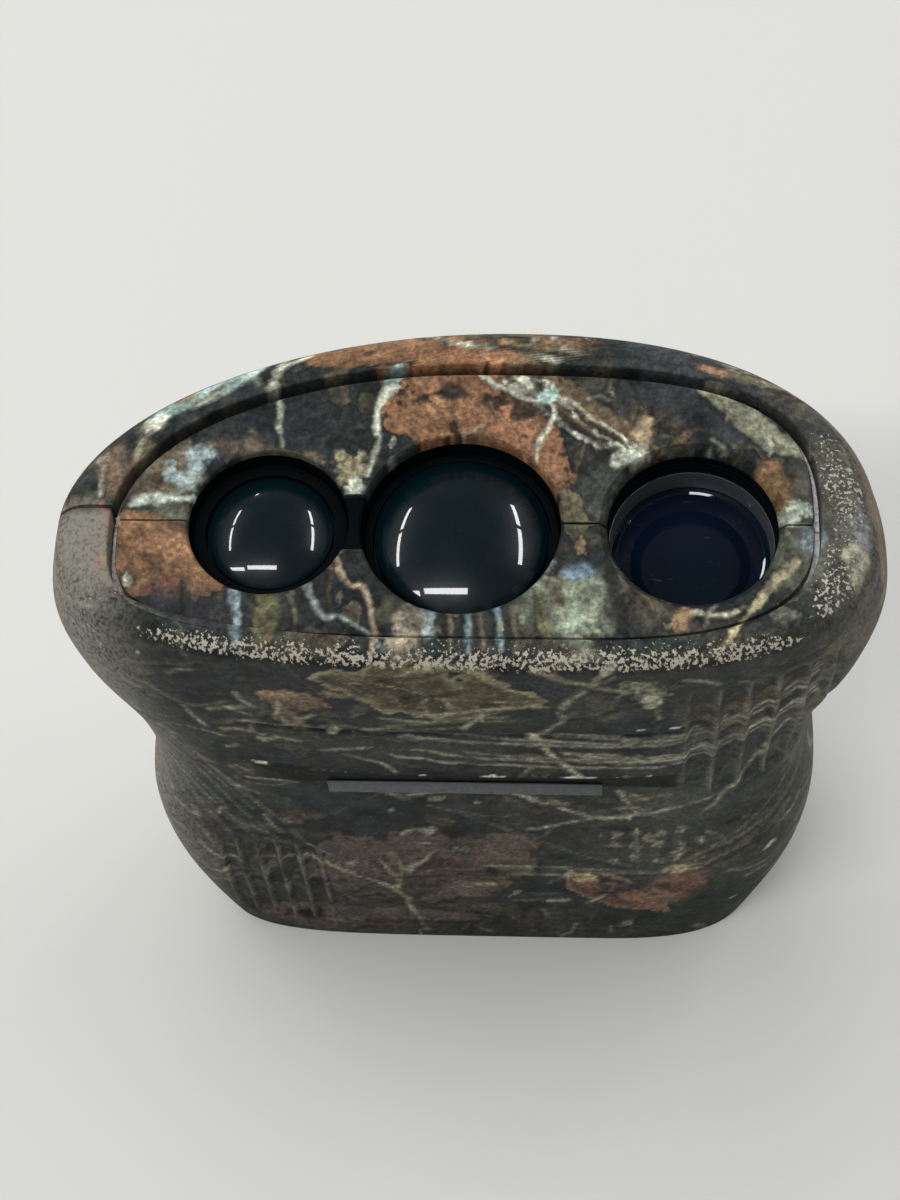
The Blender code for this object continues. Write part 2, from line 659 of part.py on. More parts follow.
# ---------------------------------------------------------------- strap lug

def cut_lug_holes(obj, label):
    for i, side in enumerate((-1, 1)):
        boolean(obj, cross_rod(f"lug_{label}_hole_{i}", None, LUG_X + side * LUG_LEG, LUG_Z,
                               13, 40, 1.4, 12, cutter=True))


def strap_lug():
    """A steel bow whose legs stand in the arched side."""
    curve = bpy.data.curves.new("strap_lug", "CURVE")
    curve.dimensions = "3D"
    curve.bevel_depth = 1.1 * MM
    curve.bevel_resolution = 2
    curve.use_fill_caps = True
    bend = 1.2
    route = [(-LUG_LEG, 14.0)]
    for side in (-1, 1):
        for i in range(5):
            angle = math.pi / 2 * (i / 4 if side < 0 else 1 - i / 4)
            route.append((side * (LUG_LEG - bend + bend * math.cos(angle)),
                          30.0 - bend + bend * math.sin(angle)))
    route.append((LUG_LEG, 14.0))
    spline = curve.splines.new("POLY")
    spline.points.add(len(route) - 1)
    for point, (x, y) in zip(spline.points, route):
        point.co = (*at(LUG_X + x, y, LUG_Z), 1.0)
    obj = bpy.data.objects.new("strap_lug", curve)
    PARTS.objects.link(obj)
    curve.materials.append(STEEL)


OPENINGS = front_openings()
armour_sleeve()
nameplate()
cases()
rear_cover()
screws()
lens_bezel()
front_lenses()
objective()
optics_frame()
laser_units()
viewfinder()
eyepiece_rear()
boards()
buttons()
battery_parts()
battery_door()
strap_lug()
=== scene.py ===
"""Looks of the laser rangefinder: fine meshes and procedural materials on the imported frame.

Sizes are millimetres, Y is counted from the seam plane, and at() turns them into metres.
"""
import math

import bmesh
import bpy
import numpy as np
from mathutils import Matrix, Vector, geometry


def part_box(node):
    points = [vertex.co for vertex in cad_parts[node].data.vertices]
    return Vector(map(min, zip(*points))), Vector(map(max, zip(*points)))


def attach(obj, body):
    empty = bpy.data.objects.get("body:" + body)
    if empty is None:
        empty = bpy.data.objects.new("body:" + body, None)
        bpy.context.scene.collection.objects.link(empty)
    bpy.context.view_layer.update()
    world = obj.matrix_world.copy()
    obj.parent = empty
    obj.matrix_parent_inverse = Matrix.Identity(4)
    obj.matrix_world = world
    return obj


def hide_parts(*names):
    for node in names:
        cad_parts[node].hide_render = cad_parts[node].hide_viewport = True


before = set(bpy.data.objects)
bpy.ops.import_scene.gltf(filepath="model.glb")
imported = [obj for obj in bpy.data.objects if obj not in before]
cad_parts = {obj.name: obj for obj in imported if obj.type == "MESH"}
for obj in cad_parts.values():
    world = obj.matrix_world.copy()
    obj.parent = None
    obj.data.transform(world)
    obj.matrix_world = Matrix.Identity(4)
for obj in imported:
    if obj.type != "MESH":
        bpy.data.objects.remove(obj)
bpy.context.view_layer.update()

MM = 0.001
SEAM_Y = -4.5
LENGTH = 108.5
PLATE_Z = 107.0

# The body's sections: height, half width, arch height, flat depth, peak of the flat side,
# squareness of the flat side's left and right corners
STATIONS = np.array([
    (0.0, 46.1, 28.0, 22.2, 13.0, 6.0, 3.6),
    (5.4, 47.6, 28.2, 22.2, 13.0, 6.0, 3.6),
    (21.5, 51.8, 28.5, 21.8, 13.0, 5.3, 3.4),
    (38.0, 52.9, 28.3, 21.2, 13.0, 4.6, 3.2),
    (54.0, 50.5, 28.0, 20.9, 13.0, 4.0, 3.0),
    (69.5, 51.9, 29.0, 21.6, 12.0, 3.7, 2.8),
    (84.0, 57.0, 30.6, 21.5, 12.0, 3.4, 2.6),
    (94.5, 58.5, 31.2, 21.9, 12.0, 3.1, 2.4),
    (104.5, 56.4, 31.2, 22.0, 12.0, 3.1, 2.6),
    (108.5, 55.2, 31.1, 22.0, 12.0, 3.1, 2.8),
])
# peak of the arched side, squareness of its left and right corners
ARCH = (4.8, 1.94, 2.32)
# the front wall: half width, arch height, flat depth, then peak and corners of either side
PLATE = (47.6, 23.85, 17.5, 0.1, 1.96, 3.25, 15.0, 4.3, 2.72)
FINE = (76, 70, 164, 110)          # points in each quarter of a fine outline
ARMOUR, REAR_LIP, LIP_TOP = 2.0, 4.0, 2.5
RIM_ROUND, RIM_GAP = 3.5, 0.7
CASE_IN, CAVITY_IN = 2.3, 4.5
CASE_REAR, SHOULDER_Z = 5.1, 104.5
SEND_X, GET_X, LOOK_X, EYE_X = -26.8, -0.4, 31.2, 27.2
FIRE_X, MODE_X, BUTTON_Z, BUTTON_R = 22.0, -2.0, 66.0, 5.2
BATTERY_X, DOOR_HALF = -20.0, 15.9
LUG_X, LUG_Z, LUG_LEG = -27.0, 14.0, 4.5


def at(x, y, z):
    """A place in metres, from millimetres with Y counted from the seam plane."""
    return Vector((x, y + SEAM_Y, z)) * MM


def srgb(red, green, blue):
    """A linear colour from its 0 to 255 screen values."""
    values = np.array((red, green, blue)) / 255
    return np.where(values > 0.04045, ((values + 0.055) / 1.055) ** 2.4, values / 12.92)


# ---------------------------------------------------------------- camera and light

# The viewpoint, in metres, and the lens in millimetres
CAMERA_AT = Vector((0.0190, -0.1615, 0.3931))
CAMERA_FORWARD = Vector((-0.0633, 0.4515, -0.8900)).normalized()
CAMERA_RIGHT = Vector((0.9979, 0.0372, -0.0521))
LENS = 72.0


def add_camera():
    data = bpy.data.cameras.new("camera")
    data.lens = LENS
    data.sensor_width = 36.0
    data.clip_start = 0.01
    camera = bpy.data.objects.new("camera", data)
    bpy.context.scene.collection.objects.link(camera)
    right = (CAMERA_RIGHT - CAMERA_FORWARD * CAMERA_RIGHT.dot(CAMERA_FORWARD)).normalized()
    up = right.cross(CAMERA_FORWARD)
    turn = Matrix((right, up, -CAMERA_FORWARD)).transposed()
    camera.matrix_world = Matrix.Translation(CAMERA_AT) @ turn.to_4x4()
    bpy.context.scene.camera = camera


def area_light(name, place, size, power, glossy=True, target=(0.0, 0.0, 0.05)):
    data = bpy.data.lights.new(name, "AREA")
    data.shape = "RECTANGLE"
    data.size, data.size_y = size
    data.energy = power
    light = bpy.data.objects.new(name, data)
    bpy.context.scene.collection.objects.link(light)
    light.location = place
    if target is not None:
        light.rotation_euler = (Vector(target) - Vector(place)).to_track_quat("-Z", "Y").to_euler()
    light.visible_glossy = glossy
    return light


def add_lights():
    """Ceiling tubes round the object, and broad fill that leaves no reflections."""
    high, wide = 2.0, 0.19
    # each tube: its place, its length, and its turn in degrees
    tubes = (((-2.35, 0.75), 1.35, 90), ((-2.35, 2.3), 1.35, 90), ((1.75, 0.75), 1.35, 90),
             ((1.75, 2.3), 1.35, 90), ((-2.1, -0.98), 1.35, 0), ((-0.55, -0.9), 1.35, 0),
             ((-2.35, 7.6), 2.6, 90), ((2.6, 7.6), 2.6, 90))
    for i, ((x, y), long, turn) in enumerate(tubes):
        tube = area_light(f"tube_{i}", (x, y, high), (long, wide), 11.0 * long, target=None)
        tube.rotation_euler = (0.0, 0.0, math.radians(turn))
    area_light("fill_top", (-0.5, 0.9, 2.2), (2.0, 2.0), 24.0, glossy=False)
    world = bpy.data.worlds.new("world")
    bpy.context.scene.world = world
    world.use_nodes = True
    background = world.node_tree.nodes["Background"]
    background.inputs["Color"].default_value = (0.98, 0.98, 1.0, 1.0)
    background.inputs["Strength"].default_value = 0.12


def add_floor():
    bm = bmesh.new()
    bmesh.ops.create_grid(bm, x_segments=1, y_segments=1, size=4.0)
    mat = bpy.data.materials.new("floor")
    mat.use_nodes = True
    shader = mat.node_tree.nodes["Principled BSDF"]
    shader.inputs["Base Color"].default_value = (0.80, 0.80, 0.765, 1.0)
    shader.inputs["Roughness"].default_value = 0.6
    shader.inputs["Specular IOR Level"].default_value = 0.2
    floor = mesh_object("floor", bm_mesh("floor", bm), mat)
    floor.location.z = -0.0001          # just under the object, so that they don't share a plane


# ---------------------------------------------------------------- noise and the print

def value_noise(places, size, seed):
    """Smooth noise from 0 to 1, with lumps about `size` across."""
    grid = np.random.default_rng(seed).random((64, 64))
    spot = places / size + 1000.0
    cell = np.floor(spot).astype(int)
    t = spot - cell
    t = t * t * (3 - 2 * t)
    i, j = cell[:, 0] % 64, cell[:, 1] % 64
    i2, j2 = (i + 1) % 64, (j + 1) % 64
    low = grid[i, j] * (1 - t[:, 0]) + grid[i2, j] * t[:, 0]
    high = grid[i, j2] * (1 - t[:, 0]) + grid[i2, j2] * t[:, 0]
    return low * (1 - t[:, 1]) + high * t[:, 1]


def lumps(places, size, seed, octaves=4):
    """Several sizes of noise together, about -1 to 1."""
    total = np.zeros(len(places))
    for k in range(octaves):
        total += (value_noise(places, size / 2**k, seed + k) - 0.5) * 2 / 1.7**k
    return total


def ramp(values, low, high):
    """0 below low, 1 above high, and smooth between."""
    t = np.clip((values - low) / (high - low), 0.0, 1.0)
    return t * t * (3 - 2 * t)


def over(base, colour, share):
    """One set of colours laid over another, by each point's share."""
    share = share[:, None]
    return base * (1 - share) + colour * share


def directions(heading):
    """The unit vectors along a heading and across it."""
    c, s = math.cos(heading), math.sin(heading)
    return np.array((c, s)), np.array((-s, c))


TWIG_EDGE = 0.32                    # how soft a branch's edge is, in millimetres
SHADOW = np.array((0.012, 0.012, 0.012))


class Print:
    """The camouflage on a set of points: each mark is painted over those before it."""

    def __init__(self, places, ground, blur):
        """`blur` is how soft the finest mark is at each point, from the points' spacing."""
        self.places = places
        self.blur = blur * np.ones(len(places))
        self.colour = np.tile(np.array(ground), (len(places), 1))

    def near(self, low, high):
        inside = np.all((self.places >= np.array(low)) & (self.places <= np.array(high)), axis=1)
        return np.flatnonzero(inside)

    def cover(self, index, share, colour):
        self.colour[index] = over(self.colour[index], colour, share)

    def panels(self, tones, spacing, seed, strength=0.8, low=(-80, -5), high=(220, 115)):
        """Overlapping scraps of bark and leaf: each has a tone and a direction for its streaks."""
        rng = np.random.default_rng(seed)
        low, high = np.array(low, float), np.array(high, float)
        count = int(np.prod((high - low) / spacing))
        seeds = rng.uniform(low, high, (count, 2))
        pick = rng.integers(0, len(tones), count)
        heading = rng.uniform(0, math.pi, count)
        squash = rng.uniform(0.45, 1.0, count)
        spots = self.places + 0.55 * spacing * np.column_stack(
            [lumps(self.places, spacing * 0.8, seed + 1), lumps(self.places, spacing * 0.8, seed + 2)])
        best = np.full(len(spots), 1e9)
        second = np.full(len(spots), 1e9)
        owner = np.zeros(len(spots), int)
        for k in range(count):
            c, s = math.cos(heading[k]), math.sin(heading[k])
            dx, dy = spots[:, 0] - seeds[k, 0], spots[:, 1] - seeds[k, 1]
            distance = np.hypot((dx * c + dy * s) * squash[k], dy * c - dx * s)
            nearer = distance < best
            second = np.where(nearer, best, np.minimum(second, distance))
            best = np.where(nearer, distance, best)
            owner = np.where(nearer, k, owner)
        c, s = np.cos(heading[owner]), np.sin(heading[owner])
        turned_places = np.column_stack([(self.places[:, 0] * c + self.places[:, 1] * s) / 5.0,
                                         self.places[:, 1] * c - self.places[:, 0] * s])
        streak = lumps(turned_places + owner[:, None] * 3.7, 1.1, seed + 3, 3)
        seam = 1 - ramp(second - best, 0.0, spacing * 0.10)
        lit = ramp(second - best, spacing * 0.08, spacing * 0.16)
        lit = lit * (1 - ramp(second - best, spacing * 0.16, spacing * 0.34))
        fade = ramp(lumps(self.places, spacing * 1.6, seed + 4), -0.5, 0.5)
        tone = np.array(tones)[pick[owner]] * (0.85 + 0.42 * streak)[:, None]
        tone = tone * (1 - 0.65 * seam + 0.45 * lit)[:, None]
        self.cover(np.arange(len(spots)), strength * (0.35 + 0.65 * fade), np.clip(tone, 0, 1))

    def patch(self, centre, size, colour, turn=0.0, seed=1, rough=0.55, soft=0.2, grain=0.3,
              ink=0.85):
        """A ragged oval."""
        reach = max(size) * 1.7
        index = self.near(np.array(centre) - reach, np.array(centre) + reach)
        if not len(index):
            return
        offset = self.places[index] - centre
        c, s = math.cos(math.radians(turn)), math.sin(math.radians(turn))
        a = (offset[:, 0] * c + offset[:, 1] * s) / size[0]
        b = (offset[:, 1] * c - offset[:, 0] * s) / size[1]
        edge = np.hypot(a, b) + rough * 0.6 * lumps(self.places[index], max(size) * 0.6, seed, 5)
        share = (1 - ramp(edge, 1 - soft * 2.2, 1 + soft)) * ink
        tone = 1 + grain * 1.5 * lumps(self.places[index], max(size) * 0.3, seed + 9, 5)[:, None]
        self.cover(index, share, np.array(colour) * np.clip(tone, 0.3, 1.8))

    def twig(self, route, width, colour, seed=1, wander=0.5, ink=0.9):
        """A branch along a route, lit from one side, with rough edges and its own shadow."""
        points = curve(np.array(route, float), 6)
        reach = width * 3 + wander + 1
        index = self.near(points.min(0) - reach, points.max(0) + reach)
        if not len(index):
            return
        places = self.places[index]
        drift = np.column_stack([lumps(places, 3.0, seed + 31), lumps(places, 3.0, seed + 57)])
        distance, run, side = along(places + drift * wander * 0.5, points)
        thick = width * 0.5 * (1 - 0.5 * run) * (1 + 0.4 * lumps(places, 1.6, seed + 5))
        dark = (1 - ramp(distance, thick, thick + 0.8 + 0.4 * width)) * (side < 0) * 0.55
        self.cover(index, dark, SHADOW)
        patchy = np.clip(0.82 + 0.5 * lumps(places, 2.6, seed + 9, 3), 0.25, 1.0)
        blur = self.blur[index]
        thick = np.maximum(thick, blur)
        edge = TWIG_EDGE + blur
        share = (1 - ramp(distance - thick, -edge, edge)) * ink * patchy
        across = np.clip(distance / np.maximum(thick, 0.05), 0, 1) * np.sign(side)
        bark = lumps(places, 0.6, seed + 77, 3)
        tone = np.clip(0.95 + 0.3 * across + 0.3 * bark, 0.25, 1.4)[:, None]
        self.cover(index, share, np.array(colour) * tone)

    def leaf(self, base, tip, width, colour, lobes=0.0, seed=1, vein=None, spots=0.0, edge=None,
             ink=0.92):
        """A leaf with a midrib, side veins, spots, a burnt edge and a shadow round it."""
        base, tip = np.array(base, float), np.array(tip, float)
        length = np.linalg.norm(tip - base)
        way = (tip - base) / length
        middle = (base + tip) / 2
        reach = max(length * 0.62, width * 1.6)
        index = self.near(middle - reach, middle + reach)
        if not len(index):
            return
        places = self.places[index]
        offset = places - base
        a = (offset @ way) / length
        b = offset[:, 1] * way[0] - offset[:, 0] * way[1]
        a = a + 0.05 * lumps(places, length * 0.3, seed) + 0.012 * lumps(places, 1.4, seed + 1)
        b = b + 0.09 * width * lumps(places, length * 0.35, seed + 3)
        b = b + 0.25 * lumps(places, 1.2, seed + 4)
        inside = np.clip(a, 0.0, 1.0)
        half = width * 0.5 * np.sin(math.pi * inside ** 0.85) ** 0.75
        half = half * (1 + lobes * np.cos(inside * 6 * math.pi) ** 3)
        half = np.where((a < 0) | (a > 1), 0.0, half)
        within = half - np.abs(b)
        self.cover(index, ramp(within, -1.1, 0.1) * 0.5 * (half > 0), np.array((0.010, 0.010, 0.011)))
        share = ramp(within, -0.05, 0.22) * ink
        grain = np.column_stack([a * length - np.abs(b), np.abs(b) * 3.0 + a * 2.0])
        tone = 0.92 + 0.26 * lumps(places, 4.0, seed + 11) + 0.22 * lumps(grain, 1.2, seed + 12, 3)
        tone = tone + np.where(b > 0, 0.14, -0.10)
        paint = np.array(colour) * np.clip(tone, 0.25, 1.7)[:, None]
        blot = ramp(lumps(places, 3.4, seed + 16, 3), 0.25, 0.75) * 0.5
        paint = over(paint, np.array(colour) * 0.45, blot)
        if edge is not None:
            close = (1 - ramp(within, 0.1, 0.16 * width)) * 0.8
            paint = over(paint, np.array(edge), close)
        if vein is not None:
            ribs = np.abs(((a * length - np.abs(b) * 0.9) / (length * 0.13)) % 1.0 - 0.5) * 2
            lines = np.maximum(0.8 * (1 - ramp(np.abs(b), 0.05, 0.28)),
                               0.4 * ramp(ribs, 0.88, 0.98) * ramp(within, 0, 0.8))
            paint = over(paint, np.array(vein), lines)
        if spots:
            dark = ramp(lumps(places, 1.9, seed + 21, 2), 1.02 - spots, 1.12 - spots)
            paint = paint * (1 - 0.8 * dark[:, None])
        self.cover(index, share, paint)

    def litter(self, low, high, count, seed, tones, size=(1.5, 5.0), ink=0.55):
        """Small scraps of twig, leaf and shadow, in no order."""
        rng = np.random.default_rng(seed)
        for k in range(count):
            spot = rng.uniform(low, high)
            way, across = directions(rng.uniform(0, 2 * math.pi))
            long = rng.uniform(*size)
            tone = np.array(tones[rng.integers(0, len(tones))]) * rng.uniform(0.6, 1.2)
            if k % 3:
                bend = across * rng.uniform(-0.25, 0.25) * long
                self.twig([spot - way * long, spot + bend, spot + way * long],
                          rng.uniform(0.35, 0.9), tone, seed + k, 0.5, ink=ink)
            else:
                self.leaf(spot - way * long * 0.7, spot + way * long * 0.7,
                          long * rng.uniform(0.4, 0.9), tone, 0.1, seed + k, ink=ink)

    def blades(self, centre, size, count, colour, turn=0.0, seed=1, width=0.5, spread=6.0):
        """A tuft of thin dry grass."""
        rng = np.random.default_rng(seed)
        for k in range(count):
            way, across = directions(math.radians(turn + rng.normal(0, spread)))
            middle = np.array(centre) + across * rng.uniform(-size[1], size[1]) / 2
            middle = middle + way * rng.uniform(-0.25, 0.25) * size[0]
            long = size[0] * rng.uniform(0.45, 1.0) / 2
            bow = across * rng.uniform(-0.06, 0.06) * long
            tone = rng.uniform(0.65, 1.15)
            self.twig([middle - way * long, middle + bow, middle + way * long],
                      width * rng.uniform(0.6, 1.3), np.array(colour) * tone, seed + k, 0.2)


def curve(points, steps):
    """A smooth curve through the points."""
    padded = np.vstack([2 * points[0] - points[1], points, 2 * points[-1] - points[-2]])
    out = []
    for a, b, c, d in zip(padded, padded[1:], padded[2:], padded[3:]):
        for t in np.linspace(0, 1, steps, endpoint=False):
            out.append(0.5 * (2 * b + (c - a) * t + (2 * a - 5 * b + 4 * c - d) * t**2
                              + (3 * b - a - 3 * c + d) * t**3))
    out.append(points[-1])
    return np.array(out)


def along(places, points):
    """Distance to a polyline, how far along it the nearest place is, and on which side."""
    best = np.full(len(places), 1e9)
    run = np.zeros(len(places))
    side = np.zeros(len(places))
    steps = np.linalg.norm(np.diff(points, axis=0), axis=1)
    start = np.concatenate([[0.0], np.cumsum(steps)])
    for k, (a, b) in enumerate(zip(points, points[1:])):
        way = b - a
        t = np.clip(((places - a) @ way) / max(steps[k]**2, 1e-9), 0, 1)
        offset = places - (a + t[:, None] * way)
        distance = np.hypot(offset[:, 0], offset[:, 1])
        closer = distance < best
        best = np.where(closer, distance, best)
        run = np.where(closer, (start[k] + t * steps[k]) / start[-1], run)
        side = np.where(closer, offset[:, 1] * np.sign(way[0] + 1e-6) + offset[:, 0] * 1e-3, side)
    return best, run, side


CHARCOAL = srgb(46, 50, 49)
NAVY = srgb(34, 42, 45)
OLIVE = srgb(68, 67, 56)
MOSS = srgb(92, 88, 66)
BARK = srgb(96, 84, 68)
TAN = srgb(150, 118, 84)
CREAM = srgb(198, 194, 172)
AQUA = srgb(154, 176, 168)
BLUE = srgb(112, 130, 144)
RUST = srgb(160, 112, 74)
BROWN = srgb(104, 72, 54)
HAY = srgb(150, 144, 124)
GREEN = srgb(28, 44, 36)
LEAF_OLIVE = srgb(134, 126, 96)


VIVID = 0.88                        # share of the marks' colour that the print keeps


def balance(colour, middle, contrast, gain):
    """Stretches the print's light and dark about a middle tone, and sets its tint."""
    light = colour.mean(axis=1, keepdims=True)
    colour = light + (colour - light) * VIVID
    stretched = middle * (light / middle) ** contrast
    return np.clip(colour * stretched / np.maximum(light, 1e-5) * np.array(gain), 0.002, 0.8)


def paint_top(places):
    """The print that faces forwards, on the front wall and the sleeve's rim."""
    art = Print(places, CHARCOAL, 0.0)
    art.panels((CHARCOAL, OLIVE, CHARCOAL * 0.8, BARK * 0.8, srgb(84, 76, 62)), 9.0, 3, 0.85,
               (-62, -26), (62, 34))
    art.litter((-56, -22), (56, 30), 110, 2000, (BARK, HAY * 0.7, MOSS, srgb(58, 50, 42), TAN * 0.7))
    art.patch((-29, 14.5), (8.5, 5.5), srgb(44, 46, 50), seed=4)
    art.patch((-31, 11.8), (5.0, 1.8), BARK, seed=5, rough=1.0)
    art.patch((-24, 10.0), (4.0, 1.6), BARK, seed=6, rough=1.0)
    art.patch((36, 18), (15, 5.0), srgb(52, 54, 58), turn=-22, seed=7, rough=0.3)
    art.patch((47, 3), (6, 9), srgb(70, 66, 60), seed=8)
    paint_rust_leaves(art)
    paint_branches(art)
    paint_left_end(art)
    paint_lower_edge(art)
    paint_rim(art)
    art.litter((-54, -21), (54, 29), 90, 2600, (CREAM * 0.7, HAY, TAN, srgb(24, 28, 30)),
               (0.8, 2.8), 0.7)
    return balance(art.colour, 0.065, 1.08, (1.07, 1.16, 1.15))


def paint_rust_leaves(art):
    """Behind the receiver."""
    art.leaf((-12, 27.5), (9, 8), 15, RUST, 0.05, 41, vein=srgb(120, 72, 46), spots=0.25)
    art.leaf((-4, 29), (16, 4), 13, srgb(154, 106, 72), 0.05, 43, vein=srgb(120, 70, 46), spots=0.2)
    art.leaf((-24, 25), (-3, 28.5), 5.5, srgb(146, 104, 72), 0.1, 44, spots=0.3)
    for k, (x, y, size) in enumerate(((4, 19.5, 2.1), (8, 17.6, 2.3), (-2, 21.0, 2.4),
                                      (-6.5, 19.5, 1.6), (8, 13.6, 0.5), (13.4, 10.8, 0.7),
                                      (14, 8.4, 0.6), (14.2, 6.4, 0.6), (-14, 26.7, 0.8))):
        art.patch((x, y), (size, size * 0.62), srgb(48, 40, 38), seed=60 + k, rough=0.7)
    art.leaf((20.5, 10.5), (15.5, -1.0), 7.5, srgb(72, 72, 66), 0.0, 46, edge=srgb(50, 50, 48))
    art.leaf((13.5, 6), (17, -5), 3.6, srgb(108, 97, 74), 0.0, 47)


def paint_branches(art):
    """Bark strands and pale branches, between the receiver and the viewfinder."""
    art.blades((18, 15.5), (22, 6), 9, srgb(122, 96, 68), -38, 71, 0.8, 5)
    art.twig([(7.5, 23.5), (12, 20), (16, 17), (21, 14), (24.5, 11)], 6.0, srgb(112, 90, 66), 172,
             1.5)
    for k, slip in enumerate((-1.5, 0.2, 1.7)):
        art.twig([(7.5 + slip, 23), (11 + slip, 20), (15 + slip, 16.4), (20 + slip, 12.9),
                  (23.8 + slip, 10.4)], (1.9, 1.0, 0.8)[k], CREAM, 72 + 50 * k, 1.6)
    art.blades((16, 16), (14, 3.2), 5, srgb(96, 70, 50), -40, 73, 0.45, 4)
    art.patch((11, 20.3), (2.2, 1.3), AQUA, 40, 74)
    art.patch((22.8, 10.6), (2.6, 1.5), srgb(186, 184, 168), 40, 75)
    art.twig([(2, 23.4), (7, 20.3), (11.4, 19), (12, 17), (10.4, 13.5), (9.6, 10)], 0.95,
             CREAM, 76, 0.5)
    art.patch((24.6, 14.2), (1.5, 2.5), srgb(172, 146, 112), 8, 77)
    art.leaf((32, 22), (47.5, 9.5), 4.6, srgb(150, 146, 120), 0.0, 78, edge=srgb(96, 92, 74))
    art.blades((38, 23.2), (18, 3.4), 7, srgb(150, 138, 112), -12, 79, 0.6, 4)


def paint_left_end(art):
    art.patch((-41.5, 7.6), (5.0, 4.6), srgb(112, 98, 74), seed=81)
    art.patch((-38.2, 8.0), (2.5, 4.4), srgb(146, 160, 160), -14, 82, rough=0.8)
    art.patch((-43.8, 3.2), (3.0, 1.2), srgb(168, 172, 160), seed=83)
    art.twig([(-46, 2.3), (-42, 3.1), (-37, 3.7)], 1.1, srgb(182, 186, 172), 84, 0.4)
    art.patch((-42.4, 6.2), (1.0, 1.7), srgb(70, 52, 38), 20, 85)
    art.patch((-39.6, 9.2), (0.9, 2.0), srgb(106, 84, 52), 10, 86)
    art.patch((-41, 0.6), (5.5, 1.7), srgb(104, 103, 84), 0, 87, rough=0.3)
    art.leaf((-49, -1.5), (-32.5, -11), 13.5, srgb(146, 103, 70), 0.0, 88, edge=srgb(104, 72, 50))
    art.patch((-41, -10.0), (2.2, 1.2), srgb(128, 66, 44), 20, 89)
    art.patch((-35.5, -14), (8, 3.6), srgb(52, 49, 52), -25, 90, rough=0.3)


def paint_lower_edge(art):
    """From left to right."""
    art.twig([(-30.6, -11), (-30, -14), (-29.5, -19)], 1.5, srgb(142, 158, 162), 91, 0.6)
    art.patch((-25.8, -15), (1.7, 5.5), srgb(100, 94, 62), 0, 92, rough=0.5)
    art.twig([(-23, -12), (-22, -15), (-22.5, -19)], 0.7, srgb(120, 112, 78), 93, 0.5)
    art.twig([(-21, -10), (-18.6, -14.4), (-16, -14.5), (-12.4, -17), (-10, -20)], 0.95,
             srgb(144, 152, 148), 94, 0.5)
    art.twig([(-17.5, -5.4), (-15.4, -9.4), (-13, -10.6), (-11.4, -16.6), (-11.4, -20)], 1.05,
             srgb(176, 150, 122), 95, 0.5)
    art.patch((-7.0, -17), (2.6, 4.0), srgb(150, 132, 112), 0, 96, rough=0.9)
    art.patch((-4.2, -16), (1.1, 3.2), srgb(150, 160, 158), 0, 97, rough=0.9)
    for k, x in enumerate((-1.2, 1.2, 3.0, 5.3, 7.4)):
        tone = srgb(142, 160, 166) if k % 2 else srgb(124, 108, 84)
        art.twig([(x - 0.3, -13), (x, -16), (x + 0.3, -20)], 0.85, tone, 98 + k, 0.4)
    art.patch((14.4, -12.6), (5.6, 5.2), srgb(132, 136, 114), -10, 104, rough=0.7)
    art.patch((12.6, -11.4), (1.6, 1.4), srgb(86, 74, 58), 0, 105)
    art.patch((15.6, -15.4), (3.2, 1.8), srgb(160, 170, 146), 0, 106, rough=0.8)
    art.patch((16, -7.6), (2.8, 1.3), BLUE, 5, 107, rough=0.4)
    art.patch((11.0, -6.2), (1.6, 1.5), srgb(150, 172, 166), 0, 108)
    art.leaf((10, -9.4), (12.5, -20), 2.4, srgb(104, 98, 72), 0.0, 109)
    art.patch((17.2, -2.6), (3.6, 2.0), srgb(60, 56, 50), 0, 110)
    art.patch((24.5, -13.5), (5.0, 3.2), srgb(82, 74, 62), 0, 111)
    art.patch((20.6, -12.5), (1.6, 4.6), srgb(50, 49, 47), 0, 112)
    art.twig([(27.5, -15.6), (31, -13.6), (35, -13.8), (38.5, -12.6)], 1.1, srgb(176, 168, 140),
             113, 0.7)
    art.patch((29.6, -14.4), (1.3, 2.0), srgb(150, 112, 76), 0, 114)
    art.patch((45, -6), (4.6, 5.4), srgb(96, 95, 78), 0, 115, rough=0.3)
    art.twig([(44.5, -6), (41, -10), (37, -15.6), (35, -18)], 1.5, srgb(166, 152, 116), 116, 0.8)
    art.patch((42.3, 6.0), (1.8, 5.2), srgb(120, 88, 54), 20, 117, rough=0.8)
    art.patch((44.6, 1.6), (2.4, 1.6), srgb(168, 172, 156), 30, 118, rough=0.8)
    art.patch((47.0, -2.2), (2.0, 2.2), srgb(112, 118, 126), 0, 119, rough=0.5)
    art.patch((44.8, 7.6), (1.5, 0.5), srgb(58, 44, 36), -10, 120)


